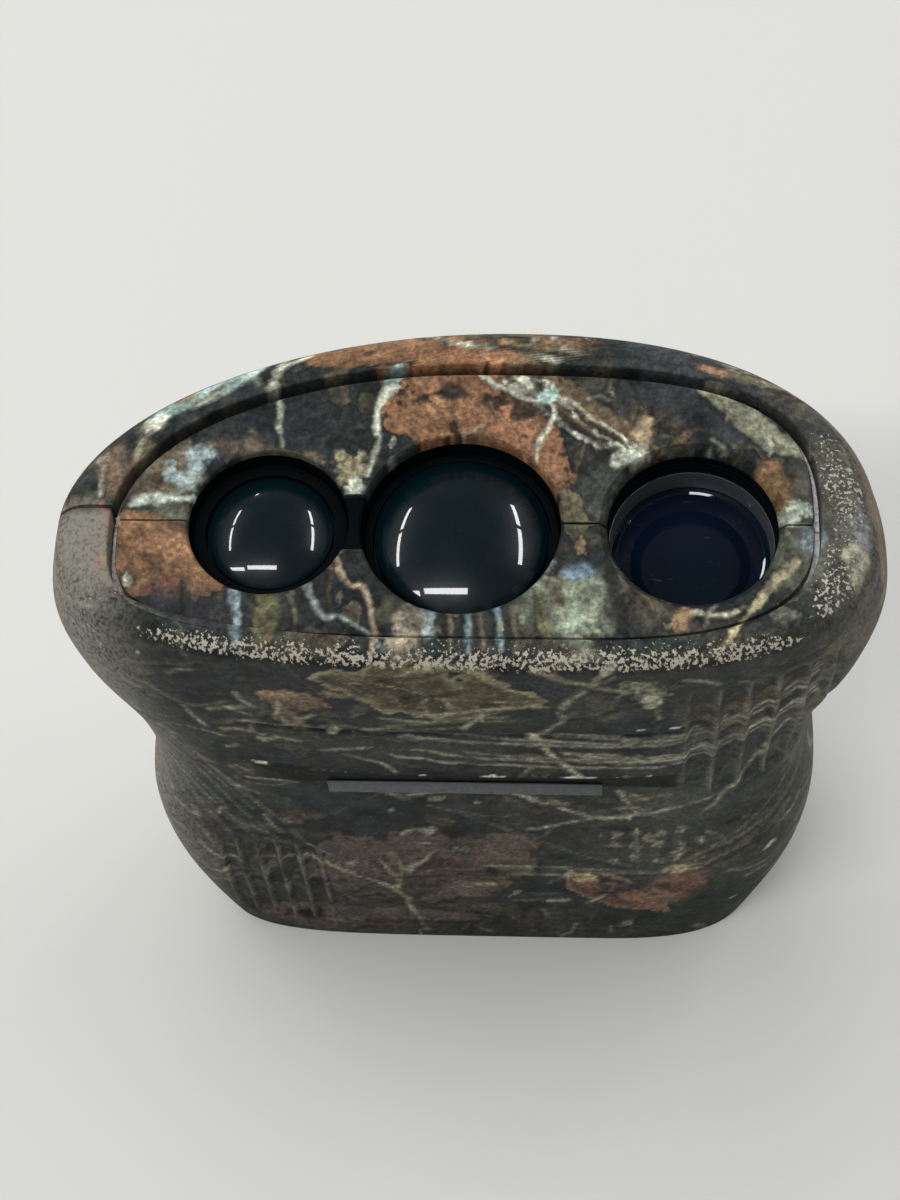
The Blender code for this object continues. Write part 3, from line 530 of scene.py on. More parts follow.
def paint_rim(art):
    """The marks of the sleeve's rim."""
    art.patch((-35.5, 21), (9.0, 1.7), srgb(158, 178, 170), 33, 131, rough=0.9)
    art.patch((-43.6, 14.6), (2.0, 1.4), CREAM, 33, 132)
    art.twig([(-26, 27), (-26.6, 23.6), (-27.4, 20.6), (-26.5, 18.4), (-25.8, 12)], 1.25,
             CREAM, 133, 0.5)
    art.twig([(-26.6, 23.4), (-24.5, 25.2), (-22.4, 26.2)], 0.9, CREAM, 134, 0.3)
    art.twig([(-31.2, 22.6), (-28.4, 20.4)], 0.7, CREAM, 135, 0.3)
    art.twig([(-10.4, 23), (-11.6, 20.4)], 2.6, srgb(160, 178, 168), 136, 0.6)
    art.twig([(-10.8, 22), (-12.6, 18), (-12.4, 13), (-13.4, 7.4)], 1.2, CREAM, 137, 0.5)
    art.patch((-15.6, 8.6), (2.6, 2.6), srgb(152, 138, 104), 0, 138, rough=0.9)
    art.patch((-15.2, 5.6), (1.3, 1.8), srgb(182, 180, 158), 0, 139)
    art.patch((-48.6, 7), (3.0, 5.0), srgb(100, 80, 64), 40, 140)
    art.twig([(-6, 30), (0, 27.6), (6, 27.4), (12, 25)], 1.0, CREAM, 141, 0.6)
    art.blades((6, 28.6), (16, 3.0), 8, srgb(120, 100, 76), -12, 142, 0.6, 6)
    art.patch((14, 28.4), (5, 1.2), srgb(120, 88, 62), 0, 143, rough=1.0)
    art.patch((29, 26), (8, 2.2), srgb(56, 58, 62), -16, 144)
    art.patch((34, 23.6), (3, 0.8), srgb(150, 104, 74), -14, 145)
    art.patch((54, -2), (2.6, 4.0), srgb(112, 114, 116), 0, 146)
    art.patch((53, -9), (2.0, 4.6), srgb(150, 142, 118), 0, 147, rough=0.9)
    art.patch((-53, -6), (5, 9), srgb(104, 100, 90), 0, 148, rough=0.5)
    art.patch((-49.4, -4), (0.9, 6.0), srgb(112, 78, 66), 0, 149, rough=0.8)


def paint_side(places, seed):
    """The print round the body: run round it along the first value, height along the second."""
    run = places[:, 0]
    art = Print(places, srgb(44, 46, 44), np.where((run > -60) & (run < 62), 0.28, 0.62))
    art.panels((CHARCOAL * 0.8, OLIVE * 0.8, NAVY, BARK * 0.6, OLIVE), 13.0, seed, 0.85)
    art.litter((-75, -4), (215, 112), 420, 3000, (BARK * 0.8, HAY * 0.55, MOSS * 0.8,
                                                  srgb(52, 46, 40), TAN * 0.5), (2.0, 7.0), 0.5)
    scatter(art, seed)
    paint_flat(art)
    art.litter((-58, 0), (58, 106), 230, 4200, (HAY * 0.9, CREAM * 0.55, MOSS, srgb(22, 26, 28)),
               (0.9, 3.6), 0.65)
    return balance(art.colour, 0.05, 1.30, (1.06, 1.13, 1.13))


def scatter(art, seed):
    """Leaves, branches and grass in no order, on the ends and the arched side."""
    rng = np.random.default_rng(seed)
    leaves = (srgb(112, 86, 66), BROWN, srgb(110, 98, 74), srgb(104, 104, 82), srgb(128, 112, 88))
    for k in range(150):
        run = rng.uniform(56, 215) if k % 6 else rng.uniform(-75, -60)
        spot = np.array((run, rng.uniform(-4, 112)))
        heading = rng.uniform(0, 2 * math.pi)
        kind = rng.integers(0, 5)
        tone = leaves[rng.integers(0, len(leaves))] * rng.uniform(0.6, 1.1)
        way, across = directions(heading)
        if kind == 0:
            long = rng.uniform(14, 26)
            art.leaf(spot, spot + way * long, long * rng.uniform(0.4, 0.62), tone,
                     rng.uniform(0, 0.35), 200 + k, vein=tone * 1.5, spots=0.2, edge=tone * 0.5)
        elif kind in (1, 2):
            long = rng.uniform(8, 24)
            bend = across * rng.uniform(-0.3, 0.3) * long
            bark = srgb(168, 162, 140) * rng.uniform(0.4, 1.0)
            wide = rng.uniform(0.5, 1.3)
            art.twig([spot - way * long, spot + bend, spot + way * long], wide, bark, 300 + k, 1.2)
            art.twig([spot + bend, spot + bend + (way * 0.6 + across) * long * 0.5], wide * 0.7,
                     bark, 900 + k, 1.0)
        elif kind == 3:
            art.blades(spot, (rng.uniform(14, 30), rng.uniform(3, 8)), 6,
                       srgb(138, 128, 100), math.degrees(heading), 400 + 7 * k, 0.7)
        else:
            art.patch(spot, (rng.uniform(1.2, 3), rng.uniform(0.8, 2)),
                      srgb(140, 150, 138) * rng.uniform(0.4, 0.9), math.degrees(heading), 500 + k,
                      rough=0.9)


def paint_flat(art):
    """The marks of the flat side, where the first value is the same as X."""
    paint_flat_ground(art)
    paint_upper_band(art)
    paint_dry_grass(art)
    paint_under_lip(art)
    paint_oak_leaf(art)
    paint_corner(art)
    paint_rubbed_spots(art)
    paint_left_lobe(art)


def paint_flat_ground(art):
    art.patch((0, 98), (44, 8), srgb(43, 46, 48), 0, 600, rough=0.3, soft=0.4)
    art.patch((-4, 78), (34, 5), srgb(54, 54, 49), 0, 601, rough=0.3, soft=0.4)
    art.patch((-12, 54), (24, 8), srgb(38, 44, 48), 0, 602, rough=0.5, soft=0.4)
    art.patch((22, 45), (22, 12), srgb(56, 56, 51), 0, 603, rough=0.4, soft=0.4)
    art.patch((42, 58), (28, 52), srgb(78, 79, 70), 0, 604, rough=0.4, soft=0.5, ink=0.45)


def paint_upper_band(art):
    art.leaf((-29, 95.5), (-17.5, 93), 6.5, srgb(128, 104, 78), 0.2, 610, edge=srgb(84, 64, 48))
    art.patch((-25, 88), (2.4, 2.6), srgb(112, 90, 66), 20, 611)
    art.twig([(-18, 97), (-12, 97.6), (-7, 94), (-3.5, 90.5)], 2.3, srgb(124, 106, 80), 612, 1.2)
    art.leaf((-20, 103), (12.5, 94.6), 17, srgb(82, 72, 50), 0.25, 613, vein=LEAF_OLIVE,
             edge=LEAF_OLIVE, spots=0.2)
    art.twig([(-8, 104), (0, 106.6), (5, 101), (10, 98)], 1.5, LEAF_OLIVE, 614, 0.8)
    art.twig([(-6, 90), (3, 93.5), (13, 95)], 1.5, LEAF_OLIVE, 615, 0.8)
    art.blades((-3, 88), (26, 3.0), 5, LEAF_OLIVE * 0.7, 12, 616, 0.9, 4)
    art.twig([(20.5, 108), (16, 99.6), (13.8, 95), (13.4, 90), (9.8, 84)], 1.1,
             srgb(150, 146, 120), 617, 0.5)
    art.twig([(9.6, 84.2), (12, 77), (16.5, 69.4)], 1.2, srgb(172, 164, 136), 618, 0.5)
    art.twig([(10, 106), (18, 101.4), (23.5, 99.4), (26, 94), (26.6, 89)], 1.4,
             srgb(128, 118, 92), 619, 0.8)
    art.patch((19, 94), (5.5, 4.4), srgb(74, 70, 56), 0, 620, rough=0.8)
    art.patch((24, 100.5), (3.4, 3.2), srgb(122, 122, 100), 30, 621, rough=1.0)
    art.patch((26, 96), (1.6, 3.0), srgb(146, 140, 116), 20, 622, rough=0.9)
    for k, (x, z) in enumerate(((-33.5, 88), (-30, 89.5), (-31, 84.4), (-24, 84.6), (-17, 85.6),
                                (-11, 85.4), (-26.6, 79.4), (-32, 81))):
        art.twig([(x - 3, z - 0.5), (x + 0.4, z + 0.4), (x + 3, z - 0.3)], 1.3,
                 srgb(128, 124, 98), 623 + k, 0.8)
    art.twig([(-46, 92), (-39, 87.5), (-33, 91)], 0.9, srgb(112, 104, 86), 632, 0.6)
    art.twig([(-17.5, 75.6), (-13, 73.4), (-11, 70.4)], 0.6, HAY, 633, 0.3)
    art.twig([(-21, 77), (-14, 78.6)], 0.6, HAY * 0.8, 634, 0.3)


def paint_dry_grass(art):
    """Across the right half."""
    rng = np.random.default_rng(77)
    for k in range(13):
        z = rng.uniform(72.0, 83.0)
        start = rng.uniform(-12, 20)
        lift = rng.uniform(-1.0, 1.0)
        art.twig([(start, z + 2.6 + lift), (start + 10, z + 1.0), (24, z - 0.2), (34, z + 0.8),
                  (42, z + 5.0 + lift), (50, z + 11)], rng.uniform(0.45, 1.0),
                 HAY * rng.uniform(0.55, 1.05), 640 + k, 0.8)


def paint_under_lip(art):
    art.twig([(-34, 62.6), (-22, 64.2), (-15, 61.6), (-11, 59.4), (-7.5, 60.4), (-3, 61.6)], 0.8,
             HAY, 650, 0.4)
    art.twig([(-36, 66), (-26, 66.8), (-18, 68.4)], 0.8, srgb(124, 108, 82), 651, 0.4)
    art.twig([(-11.4, 59), (-4, 54), (0.6, 50), (6, 45.4), (16, 37), (25, 32)], 0.55,
             srgb(96, 96, 84), 652, 0.3)
    art.twig([(-3, 54), (2.5, 51.5), (6.5, 53)], 0.55, srgb(110, 108, 92), 653, 0.3)
    art.twig([(6, 45), (10, 44), (11.5, 47)], 0.5, srgb(110, 108, 92), 654, 0.3)
    art.twig([(0, 62), (6, 60.6), (10.5, 57.6), (15, 54.4), (18, 51.6), (24.5, 53), (33, 55.6),
              (39.5, 60), (43.4, 68), (47, 77)], 1.25, HAY, 655, 0.5)
    art.twig([(8, 46.6), (13, 49), (18, 51.6)], 0.9, HAY, 656, 0.4)
    art.twig([(22, 62), (23.5, 57), (24.5, 53.4)], 0.9, srgb(126, 116, 92), 657, 0.5)
    art.patch((26, 60.5), (4.5, 1.8), srgb(104, 96, 78), 0, 658, rough=1.0)
    for k in range(14):
        x, z = 21.5 + 3.3 * (k % 5), 35.0 + 5.0 * (k // 5) + 1.4 * (k % 2)
        art.patch((x, z), (0.9, 1.3), srgb(122, 116, 98), 0, 660 + k, rough=1.0)
    art.blades((44, 42), (26, 9), 9, srgb(96, 92, 76), 42, 680, 1.0, 6)
    art.patch((52, 66), (3.6, 13), srgb(80, 78, 66), 0, 681, rough=0.4)


def paint_oak_leaf(art):
    """A brown leaf and its branches, low in the middle."""
    art.leaf((-28, 24), (8, 40), 27, srgb(82, 70, 60), 0.22, 690, vein=srgb(110, 92, 76),
             spots=0.1)
    art.leaf((8, 45), (-10, 16), 17, srgb(86, 73, 62), 0.25, 691, vein=srgb(108, 88, 72))
    art.leaf((-38, 6), (2, 10), 13, srgb(82, 70, 60), 0.15, 692, vein=srgb(110, 92, 74))
    art.twig([(-29, 33), (-22, 28.2), (-14.2, 20.6), (-12, 12), (-10.4, 2)], 1.25,
             srgb(142, 132, 108), 693, 0.6)
    art.twig([(-14, 21.6), (-12.4, 31), (-14, 37.4)], 0.95, srgb(136, 126, 102), 694, 0.5)
    art.twig([(-12.6, 30), (-9, 33.4), (-7, 37.4)], 0.8, srgb(136, 126, 102), 695, 0.5)
    art.twig([(-16, 33), (-13.4, 24)], 0.5, srgb(136, 126, 102), 696, 0.3)
    art.blades((-4, 28), (16, 12), 8, srgb(104, 82, 64), 8, 697, 0.45, 4)
    art.patch((9, 20), (12, 5), srgb(33, 39, 43), 4, 698, rough=0.5)
    art.blades((14, 30), (24, 4), 6, srgb(128, 124, 104), 0, 699, 0.5, 3)
    art.blades((8, 19), (16, 3), 4, srgb(96, 98, 92), 2, 705, 0.4, 3)


def paint_corner(art):
    """Two rounded leaves at the lower right, and the dark corner."""
    art.patch((42, 12), (20, 12), GREEN, 10, 710, rough=0.4, soft=0.3)
    art.leaf((13.5, 28), (30, 13), 8.5, srgb(110, 78, 60), 0.05, 711, edge=srgb(126, 104, 80))
    art.patch((16.5, 28.2), (3.0, 2.4), srgb(150, 132, 98), 0, 712, rough=0.5)
    art.twig([(20, 29), (23.6, 26), (22.6, 22.6)], 1.2, srgb(140, 122, 92), 713, 0.4)
    art.patch((31.6, 24.6), (4.8, 7.4), srgb(112, 78, 60), -12, 714, rough=0.25)
    art.patch((32, 31.0), (3.8, 1.7), srgb(146, 130, 96), 6, 715, rough=0.4)
    art.twig([(11, 17.6), (14, 17.9)], 0.9, CREAM * 0.7, 716, 0.3)
    art.twig([(-20, 4.5), (0, 5.6), (20, 4.4)], 1.6, srgb(72, 50, 42), 717, 0.6)
    art.patch((-3, 6.8), (13, 1.2), srgb(34, 32, 32), 0, 718, rough=0.6)


def paint_rubbed_spots(art):
    """Along the lip and under the crease."""
    for k, (x, z, half) in enumerate(((-31.0, 70.3, 1.3), (-7.0, 69.7, 0.5), (3.5, 69.75, 1.5),
                                      (15.5, 69.75, 2.7), (26.0, 69.7, 0.6), (24.8, 86.1, 0.8),
                                      (29.6, 86.0, 0.9))):
        art.patch((x, z), (half, 0.34), CREAM, 0, 770 + k, rough=0.5, soft=0.1)


def paint_left_lobe(art):
    # a grey patch with pale streaks: worn, dusty rubber, and painted sheen where light grazes the left
    # lobe
    art.patch((-56, 62), (13, 50), srgb(96, 95, 88), 0, 730, rough=0.35, soft=0.55, grain=0.1)
    art.blades((-44, 55), (34, 16), 16, srgb(108, 107, 100), -64, 731, 0.5, 5)
    art.twig([(-50, 35), (-46.5, 33), (-43.6, 28.4), (-39.4, 27.6)], 0.9, HAY, 750, 0.4)


# ---------------------------------------------------------------- outlines

def station(z):
    """The section values at a height, on a smooth curve through the stations."""
    heights = STATIONS[:, 0]
    values = STATIONS[:, 1:]
    i = int(np.clip(np.searchsorted(heights, z) - 1, 0, len(heights) - 2))
    slope = np.gradient(values, heights, axis=0)
    step = heights[i + 1] - heights[i]
    t = (z - heights[i]) / step
    return ((2 * t**3 - 3 * t**2 + 1) * values[i] + (t**3 - 2 * t**2 + t) * step * slope[i]
            + (3 * t**2 - 2 * t**3) * values[i + 1] + (t**3 - t**2) * step * slope[i + 1])


def quarter(width, depth, square, count):
    """A quarter of a superellipse, from (width, 0) to (0, depth), in equal steps."""
    angle = np.linspace(0.0, math.pi / 2, 2000)
    x = width * np.cos(angle) ** (2 / square)
    y = depth * np.sin(angle) ** (2 / square)
    run = np.concatenate([[0.0], np.cumsum(np.hypot(np.diff(x), np.diff(y)))])
    want = np.linspace(0.0, run[-1], count + 1)
    return np.column_stack([np.interp(want, run, x), np.interp(want, run, y)])


def outline(half, arch, flat, peak, p_left, p_right, low_peak, q_left, q_right, counts=FINE):
    """A closed outline of four quarters, anticlockwise from its right end."""
    right_up = quarter(half - peak, arch, p_right, counts[0]) + (peak, 0)
    left_up = quarter(half + peak, arch, p_left, counts[1])[::-1] * (-1, 1) + (peak, 0)
    left_down = quarter(half + low_peak, flat, q_left, counts[2]) * (-1, -1) + (low_peak, 0)
    right_down = quarter(half - low_peak, flat, q_right, counts[3])[::-1] * (1, -1)
    right_down = right_down + (low_peak, 0)
    return np.concatenate([right_up[:-1], left_up[:-1], left_down[:-1], right_down[:-1]])


def inset(points, distance):
    """The outline moved inwards, along its normals."""
    reach = 2
    along_it = np.roll(points, -reach, axis=0) - np.roll(points, reach, axis=0)
    inward = np.column_stack([-along_it[:, 1], along_it[:, 0]])
    inward /= np.linalg.norm(inward, axis=1)[:, None]
    return points + inward * np.reshape(distance, (-1, 1))


def body_outline(z, distance=0.0, counts=FINE):
    """The body's outline at a height, moved inwards, and rounded near the front end."""
    half, arch, flat, low_peak, q_left, q_right = station(z)
    points = outline(half, arch, flat, *ARCH, low_peak, q_left, q_right, counts)
    climb = max(0.0, (z - (LENGTH - RIM_ROUND)) / RIM_ROUND)
    rounding = RIM_ROUND * (1.0 - math.sqrt(max(0.0, 1.0 - climb * climb)))
    return inset(points, distance + rounding)


def plate_outline(distance=0.0, counts=FINE):
    """The front wall's outline, moved inwards."""
    return inset(outline(*PLATE, counts), distance)


# ---------------------------------------------------------------- mesh helpers

def mesh_object(name, mesh, mat=None):
    obj = bpy.data.objects.new(name, mesh)
    bpy.context.scene.collection.objects.link(obj)
    if mat:
        mesh.materials.append(mat)
    return obj


def bm_mesh(name, bm):
    """The mesh of a bmesh, which is freed."""
    mesh = bpy.data.meshes.new(name)
    bm.to_mesh(mesh)
    bm.free()
    return mesh


def shade(obj, angle):
    """Smooth shading, with sharp edges beyond an angle in degrees."""
    obj.data.shade_smooth()
    obj.data.set_sharp_from_angle(angle=math.radians(angle))


def finish_piece(obj, body, slot, *nodes):
    """Hands a new piece to the frame."""
    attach(obj, body)
    if nodes:
        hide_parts(*nodes)


def apply_modifiers(obj):
    """Turns the object's modifiers into its mesh."""
    graph = bpy.context.evaluated_depsgraph_get()
    mesh = bpy.data.meshes.new_from_object(obj.evaluated_get(graph),
                                           preserve_all_data_layers=True, depsgraph=graph)
    old = obj.data
    obj.modifiers.clear()
    obj.data = mesh
    bpy.data.meshes.remove(old)


def boolean(obj, operation, tool):
    mod = obj.modifiers.new(operation, "BOOLEAN")
    mod.operation = operation
    mod.solver = "EXACT"
    mod.object = tool


def join(obj, tools):
    """Adds the tools to the object, and removes them."""
    for tool in tools:
        boolean(obj, "UNION", tool)
    apply_modifiers(obj)
    for tool in tools:
        bpy.data.objects.remove(tool)


def cut(obj, tools):
    """Takes the tools out of the object, all at once."""
    bm = bmesh.new()
    for tool in tools:
        graph = bpy.context.evaluated_depsgraph_get()
        mesh = bpy.data.meshes.new_from_object(tool.evaluated_get(graph), depsgraph=graph)
        mesh.transform(tool.matrix_world)
        bm.from_mesh(mesh)
        bpy.data.meshes.remove(mesh)
        bpy.data.objects.remove(tool)
    tools_object = mesh_object("tools", bm_mesh("tools", bm))
    boolean(obj, "DIFFERENCE", tools_object)
    apply_modifiers(obj)
    bpy.data.objects.remove(tools_object)


def turned(name, mat, centre, profile, ring=False, steps=96, angle=30):
    """A turned piece about +Z, from a profile of (radius, height) that runs top to bottom."""
    mesh = bpy.data.meshes.new(name)
    edges = [(i, i + 1) for i in range(len(profile) - 1)]
    if ring:
        edges.append((len(profile) - 1, 0))
    mesh.from_pydata([(r * MM, 0.0, z * MM) for r, z in profile], edges, [])
    obj = mesh_object(name, mesh, mat)
    obj.location = at(centre[0], centre[1], 0.0)
    mod = obj.modifiers.new("screw", "SCREW")
    mod.axis = "Z"
    mod.steps = steps
    mod.render_steps = steps
    mod.use_merge_vertices = True
    mod.merge_threshold = 0.000005
    bpy.context.view_layer.update()
    apply_modifiers(obj)
    obj.data.transform(Matrix.Translation(obj.location))
    obj.location = (0, 0, 0)
    shade(obj, angle)
    return obj


def box(name, low, high, bevel=0.0):
    """A box between two corners, in millimetres."""
    size = [(b - a) * MM for a, b in zip(low, high)]
    middle = at(*[(a + b) / 2 for a, b in zip(low, high)])
    bm = bmesh.new()
    bmesh.ops.create_cube(bm, size=1.0, matrix=Matrix.Translation(middle)
                          @ Matrix.Diagonal((*size, 1.0)))
    if bevel:
        bmesh.ops.bevel(bm, geom=bm.edges[:], offset=bevel * MM, segments=3, profile=0.5,
                        affect="EDGES")
    return mesh_object(name, bm_mesh(name, bm))


def cross_turned(name, mat, x, z, profile, steps=64):
    """A turned piece about +Y, from a profile of (radius, Y) that runs down from its outer end."""
    obj = turned(name, mat, (0.0, -SEAM_Y), profile, steps=steps)
    turn = Matrix.Rotation(-math.pi / 2, 4, "X")
    obj.data.transform(Matrix.Translation(at(x, 0.0, z)) @ turn)
    return obj


def round_edge(corner, radius, start, stop, steps=4):
    """Profile points of a rounded edge, between two angles in degrees."""
    out = []
    for k in range(steps + 1):
        angle = math.radians(start + (stop - start) * k / steps)
        out.append((corner[0] + radius * math.cos(angle), corner[1] + radius * math.sin(angle)))
    return out


# ---------------------------------------------------------------- materials

class Nodes:
    """A material's node tree, with short calls for its parts."""

    def __init__(self, name):
        self.mat = bpy.data.materials.new(name)
        self.mat.use_nodes = True
        self.tree = self.mat.node_tree
        self.shader = self.tree.nodes["Principled BSDF"]
        self.place = self.add("ShaderNodeTexCoord").outputs["Object"]

    def add(self, kind, **values):
        node = self.tree.nodes.new(kind)
        for key, value in values.items():
            setattr(node, key, value)
        return node

    def link(self, out, socket):
        if hasattr(out, "is_output"):
            self.tree.links.new(out, socket)
        else:
            socket.default_value = out

    def math(self, kind, *values):
        node = self.add("ShaderNodeMath", operation=kind)
        for value, socket in zip(values, node.inputs):
            self.link(value, socket)
        return node.outputs[0]

    def scaled(self, place, size, stretch=(1, 1, 1)):
        """A place in units of `size` millimetres."""
        mapping = self.add("ShaderNodeMapping")
        self.tree.links.new(place, mapping.inputs["Vector"])
        mapping.inputs["Scale"].default_value = [1 / (size * MM * s) for s in stretch]
        return mapping.outputs[0]

    def noise(self, size, detail=3.0, stretch=(1, 1, 1), rough=0.55):
        """Noise about `size` millimetres across."""
        node = self.add("ShaderNodeTexNoise")
        node.inputs["Scale"].default_value = 1.0
        node.inputs["Detail"].default_value = detail
        node.inputs["Roughness"].default_value = rough
        self.tree.links.new(self.scaled(self.place, size, stretch), node.inputs["Vector"])
        return node.outputs["Fac"]

    def cells(self, size, feature="F1", ragged=0.0):
        """Voronoi cells about `size` millimetres across, with ragged outlines if asked."""
        place = self.place
        if ragged:
            shake = self.add("ShaderNodeVectorMath", operation="MULTIPLY_ADD")
            wobble = self.add("ShaderNodeTexNoise")
            wobble.inputs["Scale"].default_value = 2.2 / (size * MM)
            self.tree.links.new(self.place, wobble.inputs["Vector"])
            self.tree.links.new(wobble.outputs["Color"], shake.inputs[0])
            shake.inputs[1].default_value = [ragged * size * MM] * 3
            self.tree.links.new(self.place, shake.inputs[2])
            place = shake.outputs[0]
        node = self.add("ShaderNodeTexVoronoi", feature=feature)
        node.inputs["Scale"].default_value = 1.0
        self.tree.links.new(self.scaled(place, size), node.inputs["Vector"])
        return node.outputs["Distance"]

    def steps(self, value, low, high, out_low=0.0, out_high=1.0):
        node = self.add("ShaderNodeMapRange", interpolation_type="SMOOTHSTEP")
        self.link(value, node.inputs["Value"])
        self.link(low, node.inputs["From Min"])
        self.link(high, node.inputs["From Max"])
        self.link(out_low, node.inputs["To Min"])
        self.link(out_high, node.inputs["To Max"])
        return node.outputs["Result"]

    def uneven(self, size, detail, low, high):
        """A value that drifts between two others, such as a roughness."""
        return self.steps(self.noise(size, detail), 0.3, 0.7, low, high)

    def mix(self, share, a, b, blend="MIX"):
        node = self.add("ShaderNodeMix", data_type="RGBA", blend_type=blend)
        self.link(share, node.inputs[0])
        for value, socket in ((a, node.inputs[6]), (b, node.inputs[7])):
            if hasattr(value, "is_output"):
                self.tree.links.new(value, socket)
            else:
                socket.default_value = (*value, 1.0)
        return node.outputs[2]

    def attribute(self, name, out="Color"):
        node = self.add("ShaderNodeAttribute", attribute_name=name)
        return node.outputs[out]

    def bump(self, height, depth):
        """Bump whose height of 1 is `depth` millimetres."""
        node = self.add("ShaderNodeBump")
        node.inputs["Strength"].default_value = 1.0
        node.inputs["Distance"].default_value = depth * MM
        self.link(height, node.inputs["Height"])
        return node.outputs[0]

    def set(self, **values):
        for key, value in values.items():
            socket = self.shader.inputs[key.replace("_", " ")]
            if isinstance(value, (tuple, np.ndarray)) and len(value) == 3:
                value = (*value, 1.0)
            self.link(value, socket)
        return self.mat


def toned(colour, share):
    """A colour made lighter or darker."""
    return tuple(c * share for c in colour)


def camo(name, roughness, grain, shine):
    """The printed skin: fine ink variation over the print, worn to pale bits at the edges, and greyed
    with dust and painted sheen.
    """
    n = Nodes(name)
    ink = n.mix(n.steps(n.noise(1.1, 5), 0.42, 0.66, 0.0, 0.55), n.attribute("print"),
                n.mix(1.0, n.attribute("print"), (2.0, 1.95, 1.85), "MULTIPLY"))
    ink = n.mix(n.steps(n.noise(0.6, 4, (1, 1, 1), 0.62), 0.40, 0.58, 0.60, 0.0), ink,
                n.mix(1.0, ink, (0.36, 0.38, 0.40), "MULTIPLY"))
    wear = n.attribute("wear", "Fac")
    bits = n.noise(0.52, 3, (1.0, 1.0, 1.5), 0.62)
    patchy = n.steps(n.noise(2.2, 3), 0.36, 0.62, 0.03, 0.0)
    bare = n.math("ADD", n.steps(wear, 0.15, 0.95, 0.74, 0.49), patchy)
    chips = n.steps(bits, n.math("SUBTRACT", bare, 0.012), n.math("ADD", bare, 0.012))
    pale = n.mix(n.noise(2.0, 3), (0.68, 0.63, 0.50), (0.44, 0.41, 0.33))
    dirt = n.steps(n.noise(0.9, 3), 0.5, 0.68, 0.0, n.steps(wear, 0.15, 0.6, 0.0, 0.75))
    ink = n.mix(dirt, ink, (0.018, 0.017, 0.016))
    colour = n.mix(chips, ink, pale)
    # painted sheen with dust: the colour goes grey where the sheen attribute is high
    sheen = n.attribute("sheen", "Fac")
    dust_and_sheen = n.math("MULTIPLY", sheen, n.steps(n.noise(0.5, 4, (1, 1, 1.8)), 0.28, 0.64))
    colour = n.mix(dust_and_sheen, colour, (0.28, 0.265, 0.22))
    rough = n.math("ADD", n.uneven(3.0, 3, roughness - 0.06, roughness + 0.06),
                   n.math("MULTIPLY", chips, 0.15))
    height = n.math("ADD", n.noise(0.34, 2), n.math("MULTIPLY", chips, -1.2))
    return n.set(Base_Color=colour, Roughness=rough, Normal=n.bump(height, grain),
                 Specular_IOR_Level=shine)


def black_plastic(name, roughness=0.38, grain=0.012, colour=(0.012, 0.013, 0.015), shine=0.5):
    """Fine-grained moulded plastic with a little dust."""
    n = Nodes(name)
    tone = n.mix(n.noise(4.0, 4), colour, toned(colour, 1.9))
    dust = n.steps(n.noise(0.35, 3), 0.66, 0.74, 0.0, 0.7 * shine)
    rough = n.uneven(1.5, 4, roughness - 0.08, roughness + 0.1)
    return n.set(Base_Color=n.mix(dust, tone, (0.07, 0.07, 0.068)), Roughness=rough,
                 Specular_IOR_Level=shine, Normal=n.bump(n.noise(0.3, 2), grain))


def rubber(name, colour=(0.022, 0.022, 0.023), roughness=0.72):
    """Dull black rubber with a little dust."""
    n = Nodes(name)
    tone = n.mix(n.noise(3.0, 4), colour, toned(colour, 1.8))
    dust = n.steps(n.noise(0.5, 4), 0.6, 0.72, 0.0, 0.4)
    return n.set(Base_Color=n.mix(dust, tone, (0.09, 0.09, 0.085)),
                 Roughness=n.uneven(2.0, 3, roughness - 0.08, roughness + 0.08),
                 Normal=n.bump(n.noise(0.4, 3), 0.03))


def metal(name, colour, roughness=0.3, brushed=(1, 1, 8)):
    """Bare metal with brush lines along Z."""
    n = Nodes(name)
    lines = n.noise(0.25, 2, brushed)
    tone = n.mix(lines, toned(colour, 0.75), colour)
    return n.set(Base_Color=tone, Metallic=1.0, Normal=n.bump(lines, 0.008),
                 Roughness=n.uneven(1.5, 4, roughness - 0.08, roughness + 0.12))


def painted_metal(name, colour, roughness=0.45):
    """Thin paint over metal, worn through in spots."""
    n = Nodes(name)
    tone = n.mix(n.noise(2.0, 4), toned(colour, 0.8), colour)
    worn = n.steps(n.noise(1.2, 5), 0.66, 0.70, 0.0, 0.6)
    return n.set(Base_Color=n.mix(worn, tone, (0.45, 0.45, 0.44)), Metallic=0.6,
                 Roughness=n.uneven(0.8, 3, roughness - 0.1, roughness + 0.1),
                 Normal=n.bump(n.noise(0.25, 2), 0.01))


def circuit(name):
    """Green solder mask with copper traces and small pads."""
    n = Nodes(name)
    traces = n.steps(n.cells(2.2, feature="DISTANCE_TO_EDGE"), 0.05, 0.09, 1.0, 0.0)
    pads = n.steps(n.cells(1.4), 0.14, 0.18, 1.0, 0.0)
    tone = n.mix(n.noise(5.0, 3), (0.008, 0.09, 0.035), (0.012, 0.14, 0.05))
    tone = n.mix(n.math("MULTIPLY", traces, 0.7), tone, (0.03, 0.22, 0.08))
    tone = n.mix(pads, tone, (0.62, 0.60, 0.52))
    return n.set(Base_Color=tone, Metallic=n.math("MULTIPLY", pads, 0.9),
                 Roughness=n.uneven(0.6, 3, 0.3, 0.5),
                 Normal=n.bump(n.math("ADD", traces, pads), 0.03))


